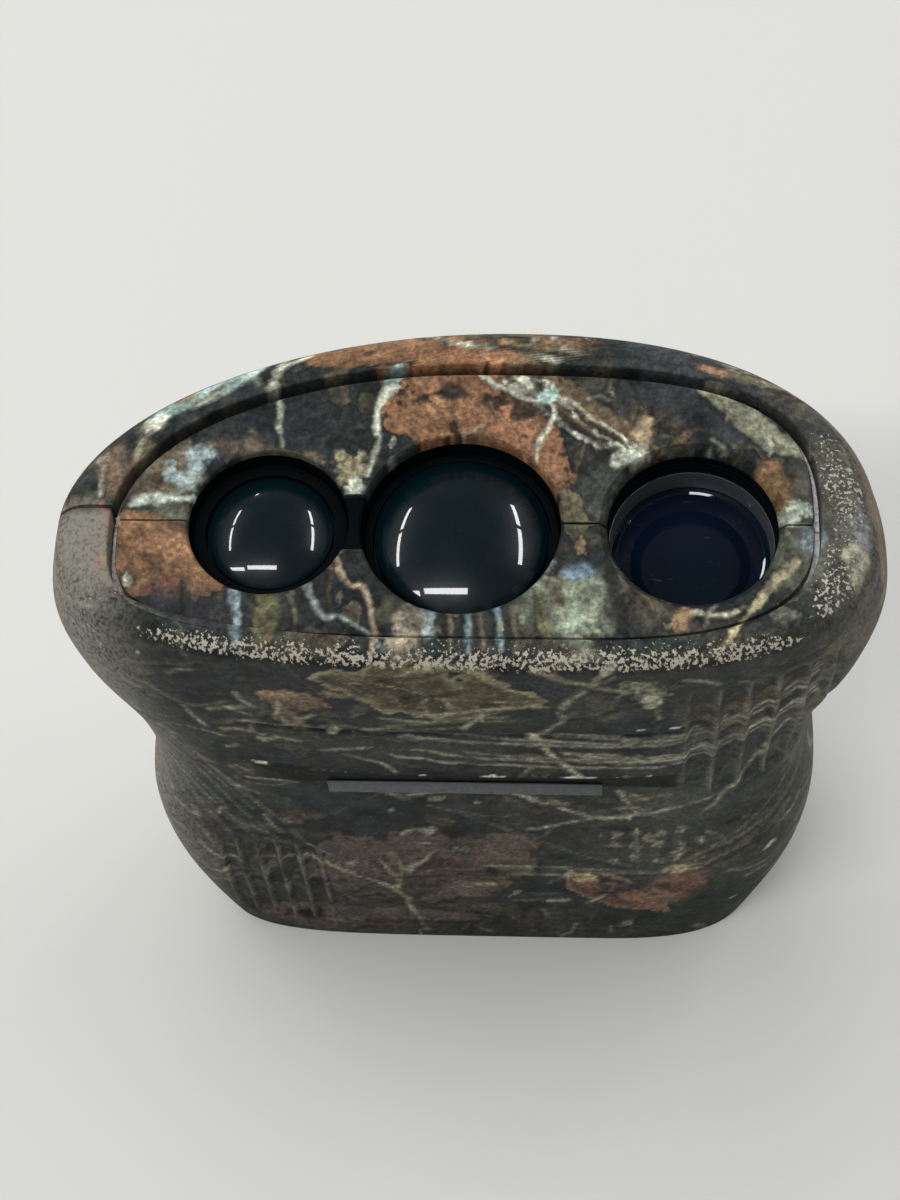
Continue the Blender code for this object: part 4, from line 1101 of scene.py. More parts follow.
def filter_glass(name):
    """Near-black window plastic: a sharp gloss over a soft haze, with dust and fine scratches."""
    n = Nodes(name)
    dust = n.steps(n.noise(0.28, 2), 0.70, 0.76, 0.0, 0.5)
    tone = n.mix(n.noise(6.0, 2), (0.0006, 0.0066, 0.0094), (0.0011, 0.0092, 0.0124))
    scratch = n.steps(n.noise(0.12, 1, (1, 60, 1)), 0.70, 0.74, 0.0, 1.0)
    return n.set(Base_Color=n.mix(dust, tone, (0.05, 0.055, 0.06)), Coat_Weight=1.0,
                 Coat_Roughness=0.03, Specular_IOR_Level=0.16,
                 Roughness=n.uneven(2.5, 3, 0.26, 0.36),
                 Normal=n.bump(scratch, 0.0006))


def objective_glass(name):
    """Dark glass with a violet coating that brightens towards its edge, dust and scratches."""
    n = Nodes(name)
    facing = n.add("ShaderNodeLayerWeight")
    facing.inputs["Blend"].default_value = 0.35
    tone = n.mix(facing.outputs["Facing"], (0.0012, 0.0060, 0.0125), (0.010, 0.012, 0.045))
    dust = n.steps(n.cells(0.9, ragged=0.5), 0.07, 0.12, 0.55, 0.0)
    fluff = n.steps(n.noise(0.7, 4, (5, 1, 1)), 0.66, 0.72, 0.0, 0.22)
    marks = n.math("MAXIMUM", n.math("MULTIPLY", dust, n.steps(n.noise(4.0, 3), 0.45, 0.7)), fluff)
    return n.set(Base_Color=n.mix(marks, tone, (0.07, 0.075, 0.09)), Specular_IOR_Level=0.30,
                 Coat_Weight=0.6, Coat_Roughness=0.015, Coat_IOR=1.35,
                 Specular_Tint=(0.80, 0.84, 1.0),
                 Roughness=n.steps(marks, 0.0, 0.5, 0.04, 0.4), Normal=n.bump(dust, 0.002))


def clear_glass(name):
    """Coated glass of the eyepiece and the prism."""
    n = Nodes(name)
    tone = n.mix(n.noise(3.0, 3), (0.10, 0.11, 0.15), (0.14, 0.13, 0.20))
    return n.set(Base_Color=tone, Coat_Weight=1.0, Coat_Roughness=0.02,
                 Roughness=n.steps(n.noise(0.8, 4), 0.4, 0.7, 0.04, 0.12),
                 Normal=n.bump(n.noise(0.5, 2), 0.0008))


def battery_skin(name):
    """A printed metal jacket with a broad band."""
    n = Nodes(name)
    band = n.steps(n.noise(9.0, 1, (8, 8, 1)), 0.48, 0.5, 0.0, 1.0)
    tone = n.mix(band, (0.02, 0.021, 0.024), (0.22, 0.17, 0.05))
    return n.set(Base_Color=n.mix(n.noise(1.0, 4), tone, (0.03, 0.03, 0.032)), Metallic=0.4,
                 Roughness=n.uneven(1.4, 4, 0.25, 0.42),
                 Normal=n.bump(n.noise(1.2, 2), 0.01))


def label_metal(name):
    """The blank grey strip."""
    n = Nodes(name)
    tone = n.mix(n.noise(1.6, 4), srgb(62, 65, 70), srgb(78, 81, 86))
    marks = n.steps(n.noise(0.3, 3, (6, 1, 1)), 0.6, 0.68, 0.0, 0.35)
    return n.set(Base_Color=n.mix(marks, tone, (0.22, 0.22, 0.22)),
                 Roughness=n.uneven(0.7, 3, 0.4, 0.6),
                 Normal=n.bump(n.noise(0.25, 2), 0.02))


# ---------------------------------------------------------------- armour

LIP_Z = 69.4
LIP_HALF, LIP_MIDDLE = 31.7, -1.1
RECESS_SLOPE = 2.5 / 35.4           # the recess under the lip runs out into the flat side
CREASE_Z = 84.0


# Each grip: its ends along the run, its ends in height, the ribs' pitch and their depth
GRIPS = (((31.0, 54.0), (59.0, 99.0), 4.3, 0.95), ((-42.5, -25.0), (6.0, 39.0), 3.35, 0.85))


def grip_wave(grip, run, z):
    """Depth of a grip's ribs, and where their crests are."""
    (left, right), (low, high), pitch, deep = grip
    fade = ramp(z, low, low + 3) * (1 - ramp(z, high - 4, high))
    side = ramp(run, left - 1, left + 1) * (1 - ramp(run, right - 1, right + 1))
    phase = ((run - left) / pitch) % 1.0
    wave = np.where(phase < 0.72, ramp(phase, 0.0, 0.25), 1 - ramp(phase, 0.72, 1))
    crest = np.maximum(1 - ramp(phase, 0.0, 0.17), ramp(phase, 0.86, 1.0))
    return deep * fade * side * wave, crest * fade * side


def relief(points, run, z):
    """How far each point of an outer row is sunk: recess, crease and grips."""
    x, y = points[:, 0], points[:, 1]
    flat = y < -14.0
    depth = np.zeros(len(x))
    span = ramp(LIP_HALF - np.abs(x - LIP_MIDDLE), 0.0, 1.1)
    if z < LIP_Z:
        wedge = -20.1 - RECESS_SLOPE * (LIP_Z - z)
        depth += np.where(flat, np.clip(wedge - y, 0.0, 2.0) * span, 0.0)
    else:
        edge = math.exp(-((z - LIP_Z) / 0.7) ** 2)
        depth += np.where(flat, -0.25 * edge * span, 0.0)
    crease = math.exp(-((z - CREASE_Z) / 0.35) ** 2)
    depth += np.where(flat, 0.32 * crease * ramp(32.0 - np.abs(x - LIP_MIDDLE), 0, 1.5), 0)
    for grip in GRIPS:
        depth += grip_wave(grip, run, z)[0] * (y < 0)
    bars = ramp(z, 30, 33) * (1 - ramp(z, 92, 95))
    zone = ramp(run, 172, 176) * (1 - ramp(run, 192, 196))
    depth += 0.6 * bars * zone * (y > 0) * ramp(math.cos(z * math.pi * 2 / 6.2), 0.55, 0.95)
    return depth


def around(points):
    """Run round an outline, 0 where the flat side crosses X = 0, parted at the left end."""
    steps = np.linalg.norm(np.roll(points, -1, axis=0) - points, axis=1)
    run = np.concatenate([[0.0], np.cumsum(steps)[:-1]])
    total = steps.sum()
    split = FINE[0] + FINE[1]
    low = np.arange(split, len(points))
    zero = np.interp(0.0, points[low, 0], run[low])
    run = run - zero
    run[:split] += total
    return run


def sleeve_rows():
    """Outer, rim, inner and rear rows of the sleeve, each with its points, height and run."""
    side = list(np.linspace(0.0, 60.0, 76)) + list(np.linspace(60.5, LIP_Z - 0.42, 20))
    side += [LIP_Z - 0.02, LIP_Z, LIP_Z + 0.15, LIP_Z + 0.4, LIP_Z + 0.7]
    side += list(np.linspace(LIP_Z + 1.1, 83.0, 28)) + [83.4, 83.7, 84.0, 84.3, 84.6]
    side += list(np.linspace(85.0, LENGTH - RIM_ROUND, 42))
    side += [LENGTH - RIM_ROUND + RIM_ROUND * math.sin(math.radians(a)) for a in range(8, 90, 9)]
    rows = []
    for z in side:
        outer = body_outline(z)
        run = around(outer)
        rows.append((inset(outer, relief(outer, run, z)), z, run))
    top = body_outline(LENGTH)
    run = around(top)
    lip = plate_outline(-RIM_GAP - 0.35)
    for t in np.linspace(0.0, 1.0, 9):
        rows.append((top * (1 - t) + lip * t, LENGTH, run))
    for angle in (30, 60, 90):
        turn = math.radians(angle)
        rows.append((plate_outline(-RIM_GAP - 0.35 + 0.35 * math.sin(turn)),
                     LENGTH - 0.35 + 0.35 * math.cos(turn), run))
    rows.append((plate_outline(-RIM_GAP), SHOULDER_Z + 0.3, run))
    rows.append((body_outline(SHOULDER_Z + 0.3, ARMOUR), SHOULDER_Z + 0.3, run))
    for z in (92, 78, 64, 50, 36, 20, CASE_REAR, LIP_TOP):
        rows.append((body_outline(z, ARMOUR), z, run))
    rows.append((body_outline(LIP_TOP, REAR_LIP), LIP_TOP, run))
    rows.append((body_outline(0.0, REAR_LIP), 0.0, run))
    return rows


def skin(name, rows, mat):
    """A closed loft over rows of equal length, with each point's run kept as a UV."""
    count = len(rows[0][0])
    verts = []
    for points, z, _ in rows:
        verts += [tuple(at(x, y, z)) for x, y in points]
    runs = np.concatenate([run for _, _, run in rows])
    faces = []
    for i in range(len(rows)):
        k = (i + 1) % len(rows)
        for j in range(count):
            n = (j + 1) % count
            faces.append((i * count + j, i * count + n, k * count + n, k * count + j))
    mesh = bpy.data.meshes.new(name)
    mesh.from_pydata(verts, [], faces)
    layer = mesh.uv_layers.new(name="run")
    index = loop_vertices(mesh)
    pairs = np.column_stack([runs[index], np.zeros(len(index))]).ravel()
    layer.data.foreach_set("uv", pairs)
    return mesh_object(name, mesh, mat)


def loop_vertices(mesh):
    """The vertex of each face corner."""
    index = np.empty(len(mesh.loops), dtype=np.int32)
    mesh.loops.foreach_get("vertex_index", index)
    return index


def vertex_runs(mesh):
    """Each vertex's run round the body, from the UV that skin() left."""
    index = loop_vertices(mesh)
    pairs = np.empty(len(mesh.loops) * 2)
    mesh.uv_layers["run"].data.foreach_get("uv", pairs)
    runs = np.zeros(len(mesh.vertices))
    runs[index] = pairs.reshape(-1, 2)[:, 0]
    return runs


def vertex_places(mesh):
    """Vertex positions in millimetres, Y from the seam plane."""
    co = np.empty(len(mesh.vertices) * 3)
    mesh.vertices.foreach_get("co", co)
    co = co.reshape(-1, 3) / MM
    co[:, 1] -= SEAM_Y
    return co


def store(mesh, colour, wear, sheen):
    """Keeps the print (on the sleeve with its painted shade and highlights), its wear and its painted
    sheen on the mesh, for the camo material to read.
    """
    attribute = mesh.color_attributes.new(name="print", type="FLOAT_COLOR", domain="POINT")
    four = np.column_stack([colour, np.ones(len(colour))])
    attribute.data.foreach_set("color", four.ravel())
    for name, values in (("wear", wear), ("sheen", sheen)):
        layer = mesh.attributes.new(name=name, type="FLOAT", domain="POINT")
        layer.data.foreach_set("value", np.asarray(values, float))


def bell(values, middle, width):
    """1 at the middle, falling to 0 on both sides."""
    return np.exp(-((values - middle) / width) ** 2)


def armour_wear(place, run):
    """Where the sleeve's paint is rubbed off: the front ridge, the right end and the lip."""
    x, y, z = place.T
    top = ramp(z, 104.0, 106.0)
    ridge = ramp(-y, 14.0, 18.5) * bell(z, 107.1, 1.7)
    ridge = ridge * (0.94 + 0.06 * ramp(x, 0, 40)) * ramp(60 - np.abs(x), 0, 6)
    round_end = bell(z, 108.0, 0.9) + 0.55 * ramp(z, 108.3, 108.5)
    right = ramp(x, 42, 49) * np.minimum(round_end, 1.0) * ramp(17 - y, 0, 4)
    right = right * (0.56 + 0.20 * bell(y, 4.0, 6.0) + 0.26 * bell(y, -12.0, 5.0))
    right = right * ramp(x, 47.5 - 0.35 * np.abs(y), 51.5 - 0.35 * np.abs(y))
    far = ramp(y, 22, 27) * bell(z, 107.9, 0.9) * 0.44 * ramp(x, -5, 15)
    left = ramp(-x, 40, 48) * ramp(-y, 1, 8) * top * 0.50
    lobe = ramp(-run, 42, 52) * bell(z, 100, 7.0) * ramp(-y, -2, 5) * 0.66
    below = ramp(-y, 15, 19) * bell(z, 105.4, 1.3) * 0.30
    chips = ramp(-y, 17, 19) * bell(z, LIP_Z + 0.3, 0.45) * 0.56
    chips = chips * ramp(33 - np.abs(x + 1), 0, 1)
    base = 0.12 * np.ones(len(x))
    return np.clip(np.maximum.reduce([base, ridge, right, far, left, lobe, below, chips]), 0, 1)


def outline_distance(x, y, points):
    """Distance from each place to the nearest point of an outline."""
    near = np.full(len(x), 1e9)
    for px, py in points:
        near = np.minimum(near, np.hypot(x - px, y - py))
    return near


def gap_and_lip_shade(place):
    """Share of painted shade, in black: deep in the gap round the front wall, and the painted shadow
    in the recess under the lip of the flat side.
    """
    x, y, z = place.T
    edge = plate_outline(-RIM_GAP, (40, 40, 60, 50))
    near = np.full(len(place), 1e9)
    low = np.flatnonzero((z > 104) & (z < LENGTH - 0.2))
    near[low] = outline_distance(x[low], y[low], edge)
    # painted shade on the wall of the gap, below the front wall's face
    gap = (1 - ramp(near, 1.2, 1.9)) * (1 - ramp(z, PLATE_Z, PLATE_Z + 0.5))
    # painted shadow in the recess under the lip
    under = ramp(z, 63.3, 63.9) * (z < LIP_Z + 0.2)
    under = under * ramp(31.6 - np.abs(x - LIP_MIDDLE), 0.0, 0.6) * (y < -14)
    return np.clip(np.maximum(gap * 0.92, under * 0.93), 0, 1)


def armour_sheen(place, run):
    """Where the rubber is painted grey: dust, and a painted sheen where light grazes the left and
    right ends.
    """
    x, y = place[:, :2].T
    left = ramp(-run, 40, 56) * (y < 1.3)
    right = ramp(x, 44, 58) * 0.45
    return np.clip(left + right, 0, 1)


# pale colour of the grip ribs' crests: wear and dust, and a painted highlight
RIB_CREST_WEAR_AND_HIGHLIGHT = srgb(138, 134, 118)
# the black of the painted shade in the gap and the painted shadow under the lip
SHADE_BLACK = 0.004
RIM_WEAR_AND_LIGHT_GAIN = 1.35                     # the rim is rubbed, and paler than the wall inside it; the gain also paints light onto the rim


def make_sleeve(mat):
    """The rubber armour, with its slit, its notch for the door and its holes."""
    sleeve = skin("armour_sleeve_skin", sleeve_rows(), mat)
    tools = [box("slit", (-70, 1.0, -2), (-38, 1.55, 112)),
             box("notch", (BATTERY_X - DOOR_HALF - 0.3, 5.0, -2),
                 (BATTERY_X + DOOR_HALF + 0.3, 40.0, LIP_TOP + 0.25))]
    for x in (FIRE_X, MODE_X):
        tools.append(cross_turned("hole", None, x, BUTTON_Z, [(0, 40), (BUTTON_R + 0.5, 40),
                                                              (BUTTON_R + 0.5, 15), (0, 15)]))
    for side in (-1, 1):
        tools.append(cross_turned("lug_hole", None, LUG_X + side * LUG_LEG, LUG_Z,
                                  [(0, 40), (1.4, 40), (1.4, 13), (0, 13)], 32))
    cut(sleeve, tools)
    mesh = sleeve.data
    place = vertex_places(mesh)
    run = vertex_runs(mesh)
    side = paint_side(np.column_stack([run, place[:, 2]]), 900)
    # the rim's print is made lighter: partly for its wear, partly as painted light
    top = paint_top(place[:, :2]) * RIM_WEAR_AND_LIGHT_GAIN
    ink = over(side, top, ramp(place[:, 2], LENGTH - 1.9, LENGTH - 0.9))
    # the ribs' crests: pale wear, and a painted highlight along each crest
    for grip in GRIPS:
        crest = grip_wave(grip, run, place[:, 2])[1] * (place[:, 1] < 0)
        rubbed = crest * np.clip(0.45 + 0.5 * lumps(np.column_stack([run, place[:, 2] / 3]), 1.3, 88),
                                 0, 0.8)
        ink = over(ink, RIB_CREST_WEAR_AND_HIGHLIGHT, rubbed)
    # painted shade: the gap and the recess under the lip go black, and lose their wear
    black = gap_and_lip_shade(place)
    ink = over(ink, SHADE_BLACK, black)
    store(mesh, ink, armour_wear(place, run) * (1 - black), armour_sheen(place, run))
    shade(sleeve, 42)
    finish_piece(sleeve, "root", "camo_rubber", "armour_sleeve")


# ---------------------------------------------------------------- front walls

# Each opening: middle, radius at the face, radius inside its chamfer, depth of the chamfer
OPENINGS = ((SEND_X, 11.4, 11.05, 0.4), (GET_X, 14.05, 13.75, 0.4), (LOOK_X, 12.7, 11.65, 1.3))
WEB = ((-18.0, -4.3), (-12.4, 4.3))
SEAM_GAP = 0.15
CHAMFER = 0.25                      # drop at which the openings' chamfers end


def front_regions(step=0.27):
    """The front face as triangles in a fine grid, cut along its outline, openings and seam."""
    edge = plate_outline(0.25, (70, 70, 120, 90))
    loops = [edge]
    for x, radius, _, _ in OPENINGS:
        angle = np.linspace(0, 2 * math.pi, 160, endpoint=False)
        loops.append(np.column_stack([x + radius * np.cos(angle), radius * np.sin(angle)]))
    points = [tuple(p) for loop in loops for p in loop]
    edges = []
    start = 0
    for loop in loops:
        edges += [(start + i, start + (i + 1) % len(loop)) for i in range(len(loop))]
        start += len(loop)
    corners = ((WEB[0][0], WEB[0][1]), (WEB[1][0], WEB[0][1]), (WEB[1][0], WEB[1][1]),
               (WEB[0][0], WEB[1][1]))
    lines = [(corners[0], corners[1]), (corners[3], corners[2])]
    lines += [((-60, s * SEAM_GAP), (60, s * SEAM_GAP)) for s in (-1, 1)]
    for a, b in lines:
        edges.append((len(points), len(points) + 1))
        points += [a, b]
    xs = np.arange(-48, 48, step)
    ys = np.arange(-18, 24.5, step)
    grid = np.array([(x + (step / 2 if k % 2 else 0), y) for k, y in enumerate(ys) for x in xs])
    keep = np.ones(len(grid), bool)
    for x, radius, _, _ in OPENINGS:
        keep &= np.abs(np.hypot(grid[:, 0] - x, grid[:, 1]) - radius) > step * 0.5
        keep &= np.hypot(grid[:, 0] - x, grid[:, 1]) > radius
    keep &= np.abs(np.abs(grid[:, 1]) - SEAM_GAP) > step * 0.3
    points += [tuple(p) for p in grid[keep]]
    flat = [Vector(p) for p in points]
    out_points, _, faces, _, _, _ = geometry.delaunay_2d_cdt(flat, edges, [], 0, 1e-5)
    return np.array([tuple(p) for p in out_points]), faces, edge


def inside(points, loop):
    """Which points lie inside a closed outline."""
    result = np.zeros(len(points), bool)
    for (x1, y1), (x2, y2) in zip(loop, np.roll(loop, -1, axis=0)):
        crosses = (y1 > points[:, 1]) != (y2 > points[:, 1])
        if crosses.any():
            where = x1 + (points[:, 1] - y1) / (y2 - y1 + 1e-12) * (x2 - x1)
            result ^= crosses & (points[:, 0] < where)
    return result


def make_fronts(mat):
    """The two halves of the case, parted along the seam."""
    points, faces, edge = front_regions()
    faces = np.array([f for f in faces if len(f) == 3])
    middle = points[faces].mean(axis=1)
    keep = inside(middle, edge)
    for x, radius, _, _ in OPENINGS:
        keep &= np.hypot(middle[:, 0] - x, middle[:, 1]) > radius * 0.9995
    in_web = np.all((middle > WEB[0]) & (middle < WEB[1]), axis=1)
    keep &= ~in_web
    for name, side in (("upper_case", 1), ("lower_case", -1)):
        chosen = faces[keep & (middle[:, 1] * side > SEAM_GAP)]
        front_half(name, points, chosen, side, mat)


def front_half(name, points, faces, side, mat):
    """One half of the case: its printed front wall, folded down into the openings, and its shell."""
    used = np.unique(faces)
    lookup = np.full(len(points), -1)
    lookup[used] = np.arange(len(used))
    bm = bmesh.new()
    verts = [bm.verts.new(at(points[i][0], points[i][1], PLATE_Z)) for i in used]
    for a, b, c in lookup[faces]:
        bm.faces.new((verts[a], verts[b], verts[c]))
    bmesh.ops.recalc_face_normals(bm, faces=bm.faces)
    bm.faces.ensure_lookup_table()
    if bm.faces[0].normal.z < 0:
        bmesh.ops.reverse_faces(bm, faces=bm.faces)
    fold_down(bm)
    obj = mesh_object(name + "_shell", bm_mesh(name, bm), mat)
    place = vertex_places(obj.data)
    worn = front_wear(place)
    store(obj.data, paint_top(place[:, :2]), worn, np.zeros(len(place)))
    add_shell(obj, side)
    shade(obj, 50)
    finish_piece(obj, "root", "camo_plastic", name)


def fold_down(bm):
    """Turns the face's open edges down: chamfers at the openings and a small round outside."""
    depth_steps = ((0.12, 0.06), (CHAMFER, 0.25), (2.3, 0.0))
    rims = [e for e in bm.edges if e.is_boundary]
    for drop, out in depth_steps:
        made = bmesh.ops.extrude_edge_only(bm, edges=rims)["geom"]
        rims = [g for g in made if isinstance(g, bmesh.types.BMEdge) and g.is_boundary]
        for v in {v for e in rims for v in e.verts}:
            move_rim(v, drop, out)
    bmesh.ops.holes_fill(bm, edges=[e for e in bm.edges if e.is_boundary], sides=0)
    bmesh.ops.recalc_face_normals(bm, faces=bm.faces)


def move_rim(v, drop, out):
    """Moves a rim vertex down and, by where it lies, inwards or outwards."""
    x, y = v.co.x / MM, v.co.y / MM - SEAM_Y
    for centre, wide, hole, deep in OPENINGS:
        away = math.hypot(x - centre, y)
        if away < wide + 0.02:
            if drop < 2.0:
                share = min(1.0, drop / CHAMFER)
                target = wide - (wide - hole) * share
                fall = deep * share
            else:
                target, fall = hole, drop
            v.co.x = (centre + (x - centre) * target / away) * MM
            v.co.y = (y * target / away + SEAM_Y) * MM
            v.co.z = (PLATE_Z - fall) * MM
            return
    if abs(abs(y) - SEAM_GAP) > 0.02 and not web_edge(x, y):
        away = math.hypot(x, y)
        v.co.x = x * (1 + out * 0.5 / away) * MM
        v.co.y = (y * (1 + out * 0.5 / away) + SEAM_Y) * MM
    v.co.z = (PLATE_Z - drop) * MM


def web_edge(x, y):
    """Whether a rim vertex lies on the gap for the bezel's web."""
    return WEB[0][0] - 0.1 < x < WEB[1][0] + 0.1 and abs(y) < WEB[1][1] + 0.1


def add_shell(obj, side):
    """Joins the half shell below the front wall."""
    counts = (28, 28, 40, 30)
    levels = (CASE_REAR, 20, 36, 50, 64, 78, 92, SHOULDER_Z)
    rings = [(plate_outline(0.1, counts), SHOULDER_Z + 0.3)]
    rings += [(body_outline(z, CASE_IN, counts), z) for z in reversed(levels)]
    rings += [(body_outline(z, CAVITY_IN, counts), z) for z in levels[:-1]]
    rings += [(plate_outline(2.3, counts), SHOULDER_Z + 0.2)]
    bm = bmesh.new()
    rows = [[bm.verts.new(at(x, y, z)) for x, y in ring] for ring, z in rings]
    for low, high in zip(rows, rows[1:] + rows[:1]):
        for j in range(len(low)):
            k = (j + 1) % len(low)
            bm.faces.new((low[j], low[k], high[k], high[j]))
    bmesh.ops.recalc_face_normals(bm, faces=bm.faces)
    plane = at(0, side * SEAM_GAP, 0)
    geom = bm.verts[:] + bm.edges[:] + bm.faces[:]
    made = bmesh.ops.bisect_plane(bm, geom=geom, plane_co=plane, plane_no=(0, -side, 0),
                                  clear_outer=True)
    edges = [g for g in made["geom_cut"] if isinstance(g, bmesh.types.BMEdge)]
    bmesh.ops.triangle_fill(bm, edges=edges, use_beauty=True)
    bmesh.ops.recalc_face_normals(bm, faces=bm.faces)
    bm.from_mesh(obj.data)
    bm.to_mesh(obj.data)
    bm.free()


def front_wear(place):
    """Light wear all over the front wall, and more along its outline."""
    near = outline_distance(place[:, 0], place[:, 1], plate_outline(0.0, (40, 40, 60, 50)))
    rim = (1 - ramp(near, 0.3, 1.1)) * 0.30
    return np.clip(0.06 + rim, 0, 1)


# ---------------------------------------------------------------- lenses

def make_lens_bezel(mat):
    """The black moulding of the two laser lenses, with rounded lips and a web between them."""
    top, floor, back = 106.1, 98.0, 95.0
    send, get = 12.1, 14.9
    bezel = turned("bezel", mat, (SEND_X, 0), [(0, top), (send, top), (send, back), (0, back)])
    other = turned("bezel_b", mat, (GET_X, 0), [(0, top), (get, top), (get, back), (0, back)])
    web = box("bezel_web", (-18.4, -3.95, back), (-12.0, 3.95, top))
    join(bezel, (other, web))
    tools = []
    for x, bore, stop in ((SEND_X, 11.0, 9.0), (GET_X, 13.8, 11.8)):
        profile = [(0, top + 1), (bore + 0.25, top + 1), (bore + 0.25, top), (bore, top - 0.25),
                   (bore, floor), (stop, floor), (stop, back - 1), (0, back - 1)]
        tools.append(turned("bore", None, (x, 0), profile))
    cut(bezel, tools)
    bezel.name = "lens_bezel_fine"
    shade(bezel, 30)
    finish_piece(bezel, "root", "black_plastic", "lens_bezel")


def sag(ball, away):
    """How far a ball's surface falls back, `away` from its crown."""
    return ball - math.sqrt(ball**2 - away**2)


def domed(crown, wide, ball, steps):
    """Profile points of a domed face, from its crown outwards."""
    return [(wide * i / steps, crown - sag(ball, wide * i / steps)) for i in range(steps + 1)]


def dome(crown, face_radius, ball, flange, flange_z, back_z):
    """A lens profile: a dome with a rounded shoulder, a flange and a flat back."""
    points = domed(crown, face_radius, ball, 28)
    rim = points[-1][1]
    points += [(face_radius + 0.05, rim - 0.12), (face_radius + 0.08, rim - 0.4)]
    return points + [(face_radius + 0.08, flange_z), (flange, flange_z), (flange, back_z),
                     (0.0, back_z)]


def make_lenses(filter_mat, glass_mat, black, grey):
    """The two laser windows with their retaining rings, and the viewfinder's front."""
    send = turned("transmitter_window", filter_mat, (SEND_X, 0),
                  dome(106.6, 8.7, 14.0, 10.6, 102.6, 98.4), steps=128, angle=25)
    finish_piece(send, "root", "filter_glass", "transmitter_lens")
    get = turned("receiver_window", filter_mat, (GET_X, 0),
                 dome(106.6, 12.0, 21.0, 13.4, 101.2, 98.4), steps=144, angle=25)
    finish_piece(get, "root", "filter_glass", "receiver_lens")
    for name, x, low, high, outer, inner in (("transmitter", SEND_X, 102.9, 103.9, 10.7, 9.0),
                                             ("receiver", GET_X, 101.5, 102.5, 13.5, 12.3)):
        profile = (round_edge((outer - 0.2, high - 0.2), 0.2, 90, 0)
                   + [(outer, low), (inner, low)]
                   + round_edge((inner + 0.2, high - 0.2), 0.2, 180, 90))
        ring = turned(name + "_retainer_fine", black, (x, 0), profile, ring=True)
        finish_piece(ring, "root", "black_plastic", name + "_retainer")
    make_objective(glass_mat, black, grey)


def make_objective(glass_mat, black, grey):
    """The ribbed barrel, the coated lens and its thin ring."""
    top, seat, back = 105.2, 96.0, 62.0
    profile = [(12.6, top - 0.15), (12.6, 89.0), (11.5, back), (9.6, back), (10.0, seat),
               (11.5, seat), (11.5, 100.4)]
    for k in range(3):
        z = 101.0 + 1.1 * k
        profile += [(11.5, z), (11.35, z + 0.2), (11.35, z + 0.5), (11.5, z + 0.7)]
    profile += [(11.5, top - 0.3), (11.7, top), (12.45, top)]
    barrel = turned("objective_barrel_fine", black, (LOOK_X, 0), profile, ring=True, steps=128)
    finish_piece(barrel, "root", "black_plastic", "objective_barrel")
    face = domed(99.9, 10.3, 22.0, 32)
    rim = face[-1][1]
    mirror = 195.0                      # sum of the heights of the two faces
    back_face = [(r, mirror - z) for r, z in reversed(face)]
    glass = turned("objective_window", glass_mat, (LOOK_X, 0),
                   face + [(11.2, rim + 0.38), (11.2, mirror - rim)] + back_face, steps=160,
                   angle=12)
    finish_piece(glass, "root", "coated_glass", "objective_lens")
    profile = [(11.45, 101.3), (11.45, rim + 0.75), (11.0, rim + 0.45), (10.95, rim + 0.75),
               (11.3, 101.25)]
    ring = turned("objective_ring", grey, (LOOK_X, 0), profile, ring=True, steps=160)
    finish_piece(ring, "root", "grey_metal", "objective_retainer")


# ---------------------------------------------------------------- controls and rear

def make_nameplate(mat):
    """A blank strip that lies on the slope under the lip."""
    low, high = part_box("nameplate")
    middle, half = (low.x + high.x) / 2 / MM, (high.x - low.x) / 2 / MM
    bm = bmesh.new()
    rows = []
    for x in (-half, half):
        rows.append([bm.verts.new(at(middle + x, y, z)) for y, z in
                     ((-21.06, 61.3), (-20.82, 64.7), (-20.55, 64.7), (-20.79, 61.3))])
    for j in range(4):
        k = (j + 1) % 4
        bm.faces.new((rows[0][j], rows[0][k], rows[1][k], rows[1][j]))
    for row in rows:
        bm.faces.new(row)
    bmesh.ops.recalc_face_normals(bm, faces=bm.faces)
    bmesh.ops.bevel(bm, geom=bm.edges[:], offset=0.1 * MM, segments=2, profile=0.5,
                    affect="EDGES")
    strip = mesh_object("nameplate_strip", bm_mesh("nameplate_strip", bm), mat)
    shade(strip, 40)
    finish_piece(strip, "root", "label_plate", "nameplate")


def make_buttons(mat):
    """Rubber keys with a dished top: a raised ring on the one that fires, grooves on the other."""
    for name, x, top, grooves in (("fire_button", FIRE_X, 29.4, False),
                                  ("mode_button", MODE_X, 29.9, True)):
        profile = [(0.0, top - 0.35)]
        if grooves:
            for r in (1.1, 2.2, 3.3):
                profile += [(r - 0.3, top - 0.3), (r - 0.15, top - 0.55), (r + 0.15, top - 0.55),
                            (r + 0.3, top - 0.28)]
        else:
            profile += [(0.9, top - 0.35), (1.1, top - 0.12), (1.6, top - 0.12), (1.8, top - 0.38),
                        (3.4, top - 0.3)]
        profile += round_edge((BUTTON_R - 0.9, top - 0.9), 0.9, 90, 0, 8)
        profile += [(BUTTON_R, 20.0), (6.0, 20.0), (6.0, 19.0), (0.0, 19.0)]
        key = cross_turned(name + "_key", mat, x, BUTTON_Z, profile, 96)
        shade(key, 30)
        finish_piece(key, name, "dark_rubber", name)


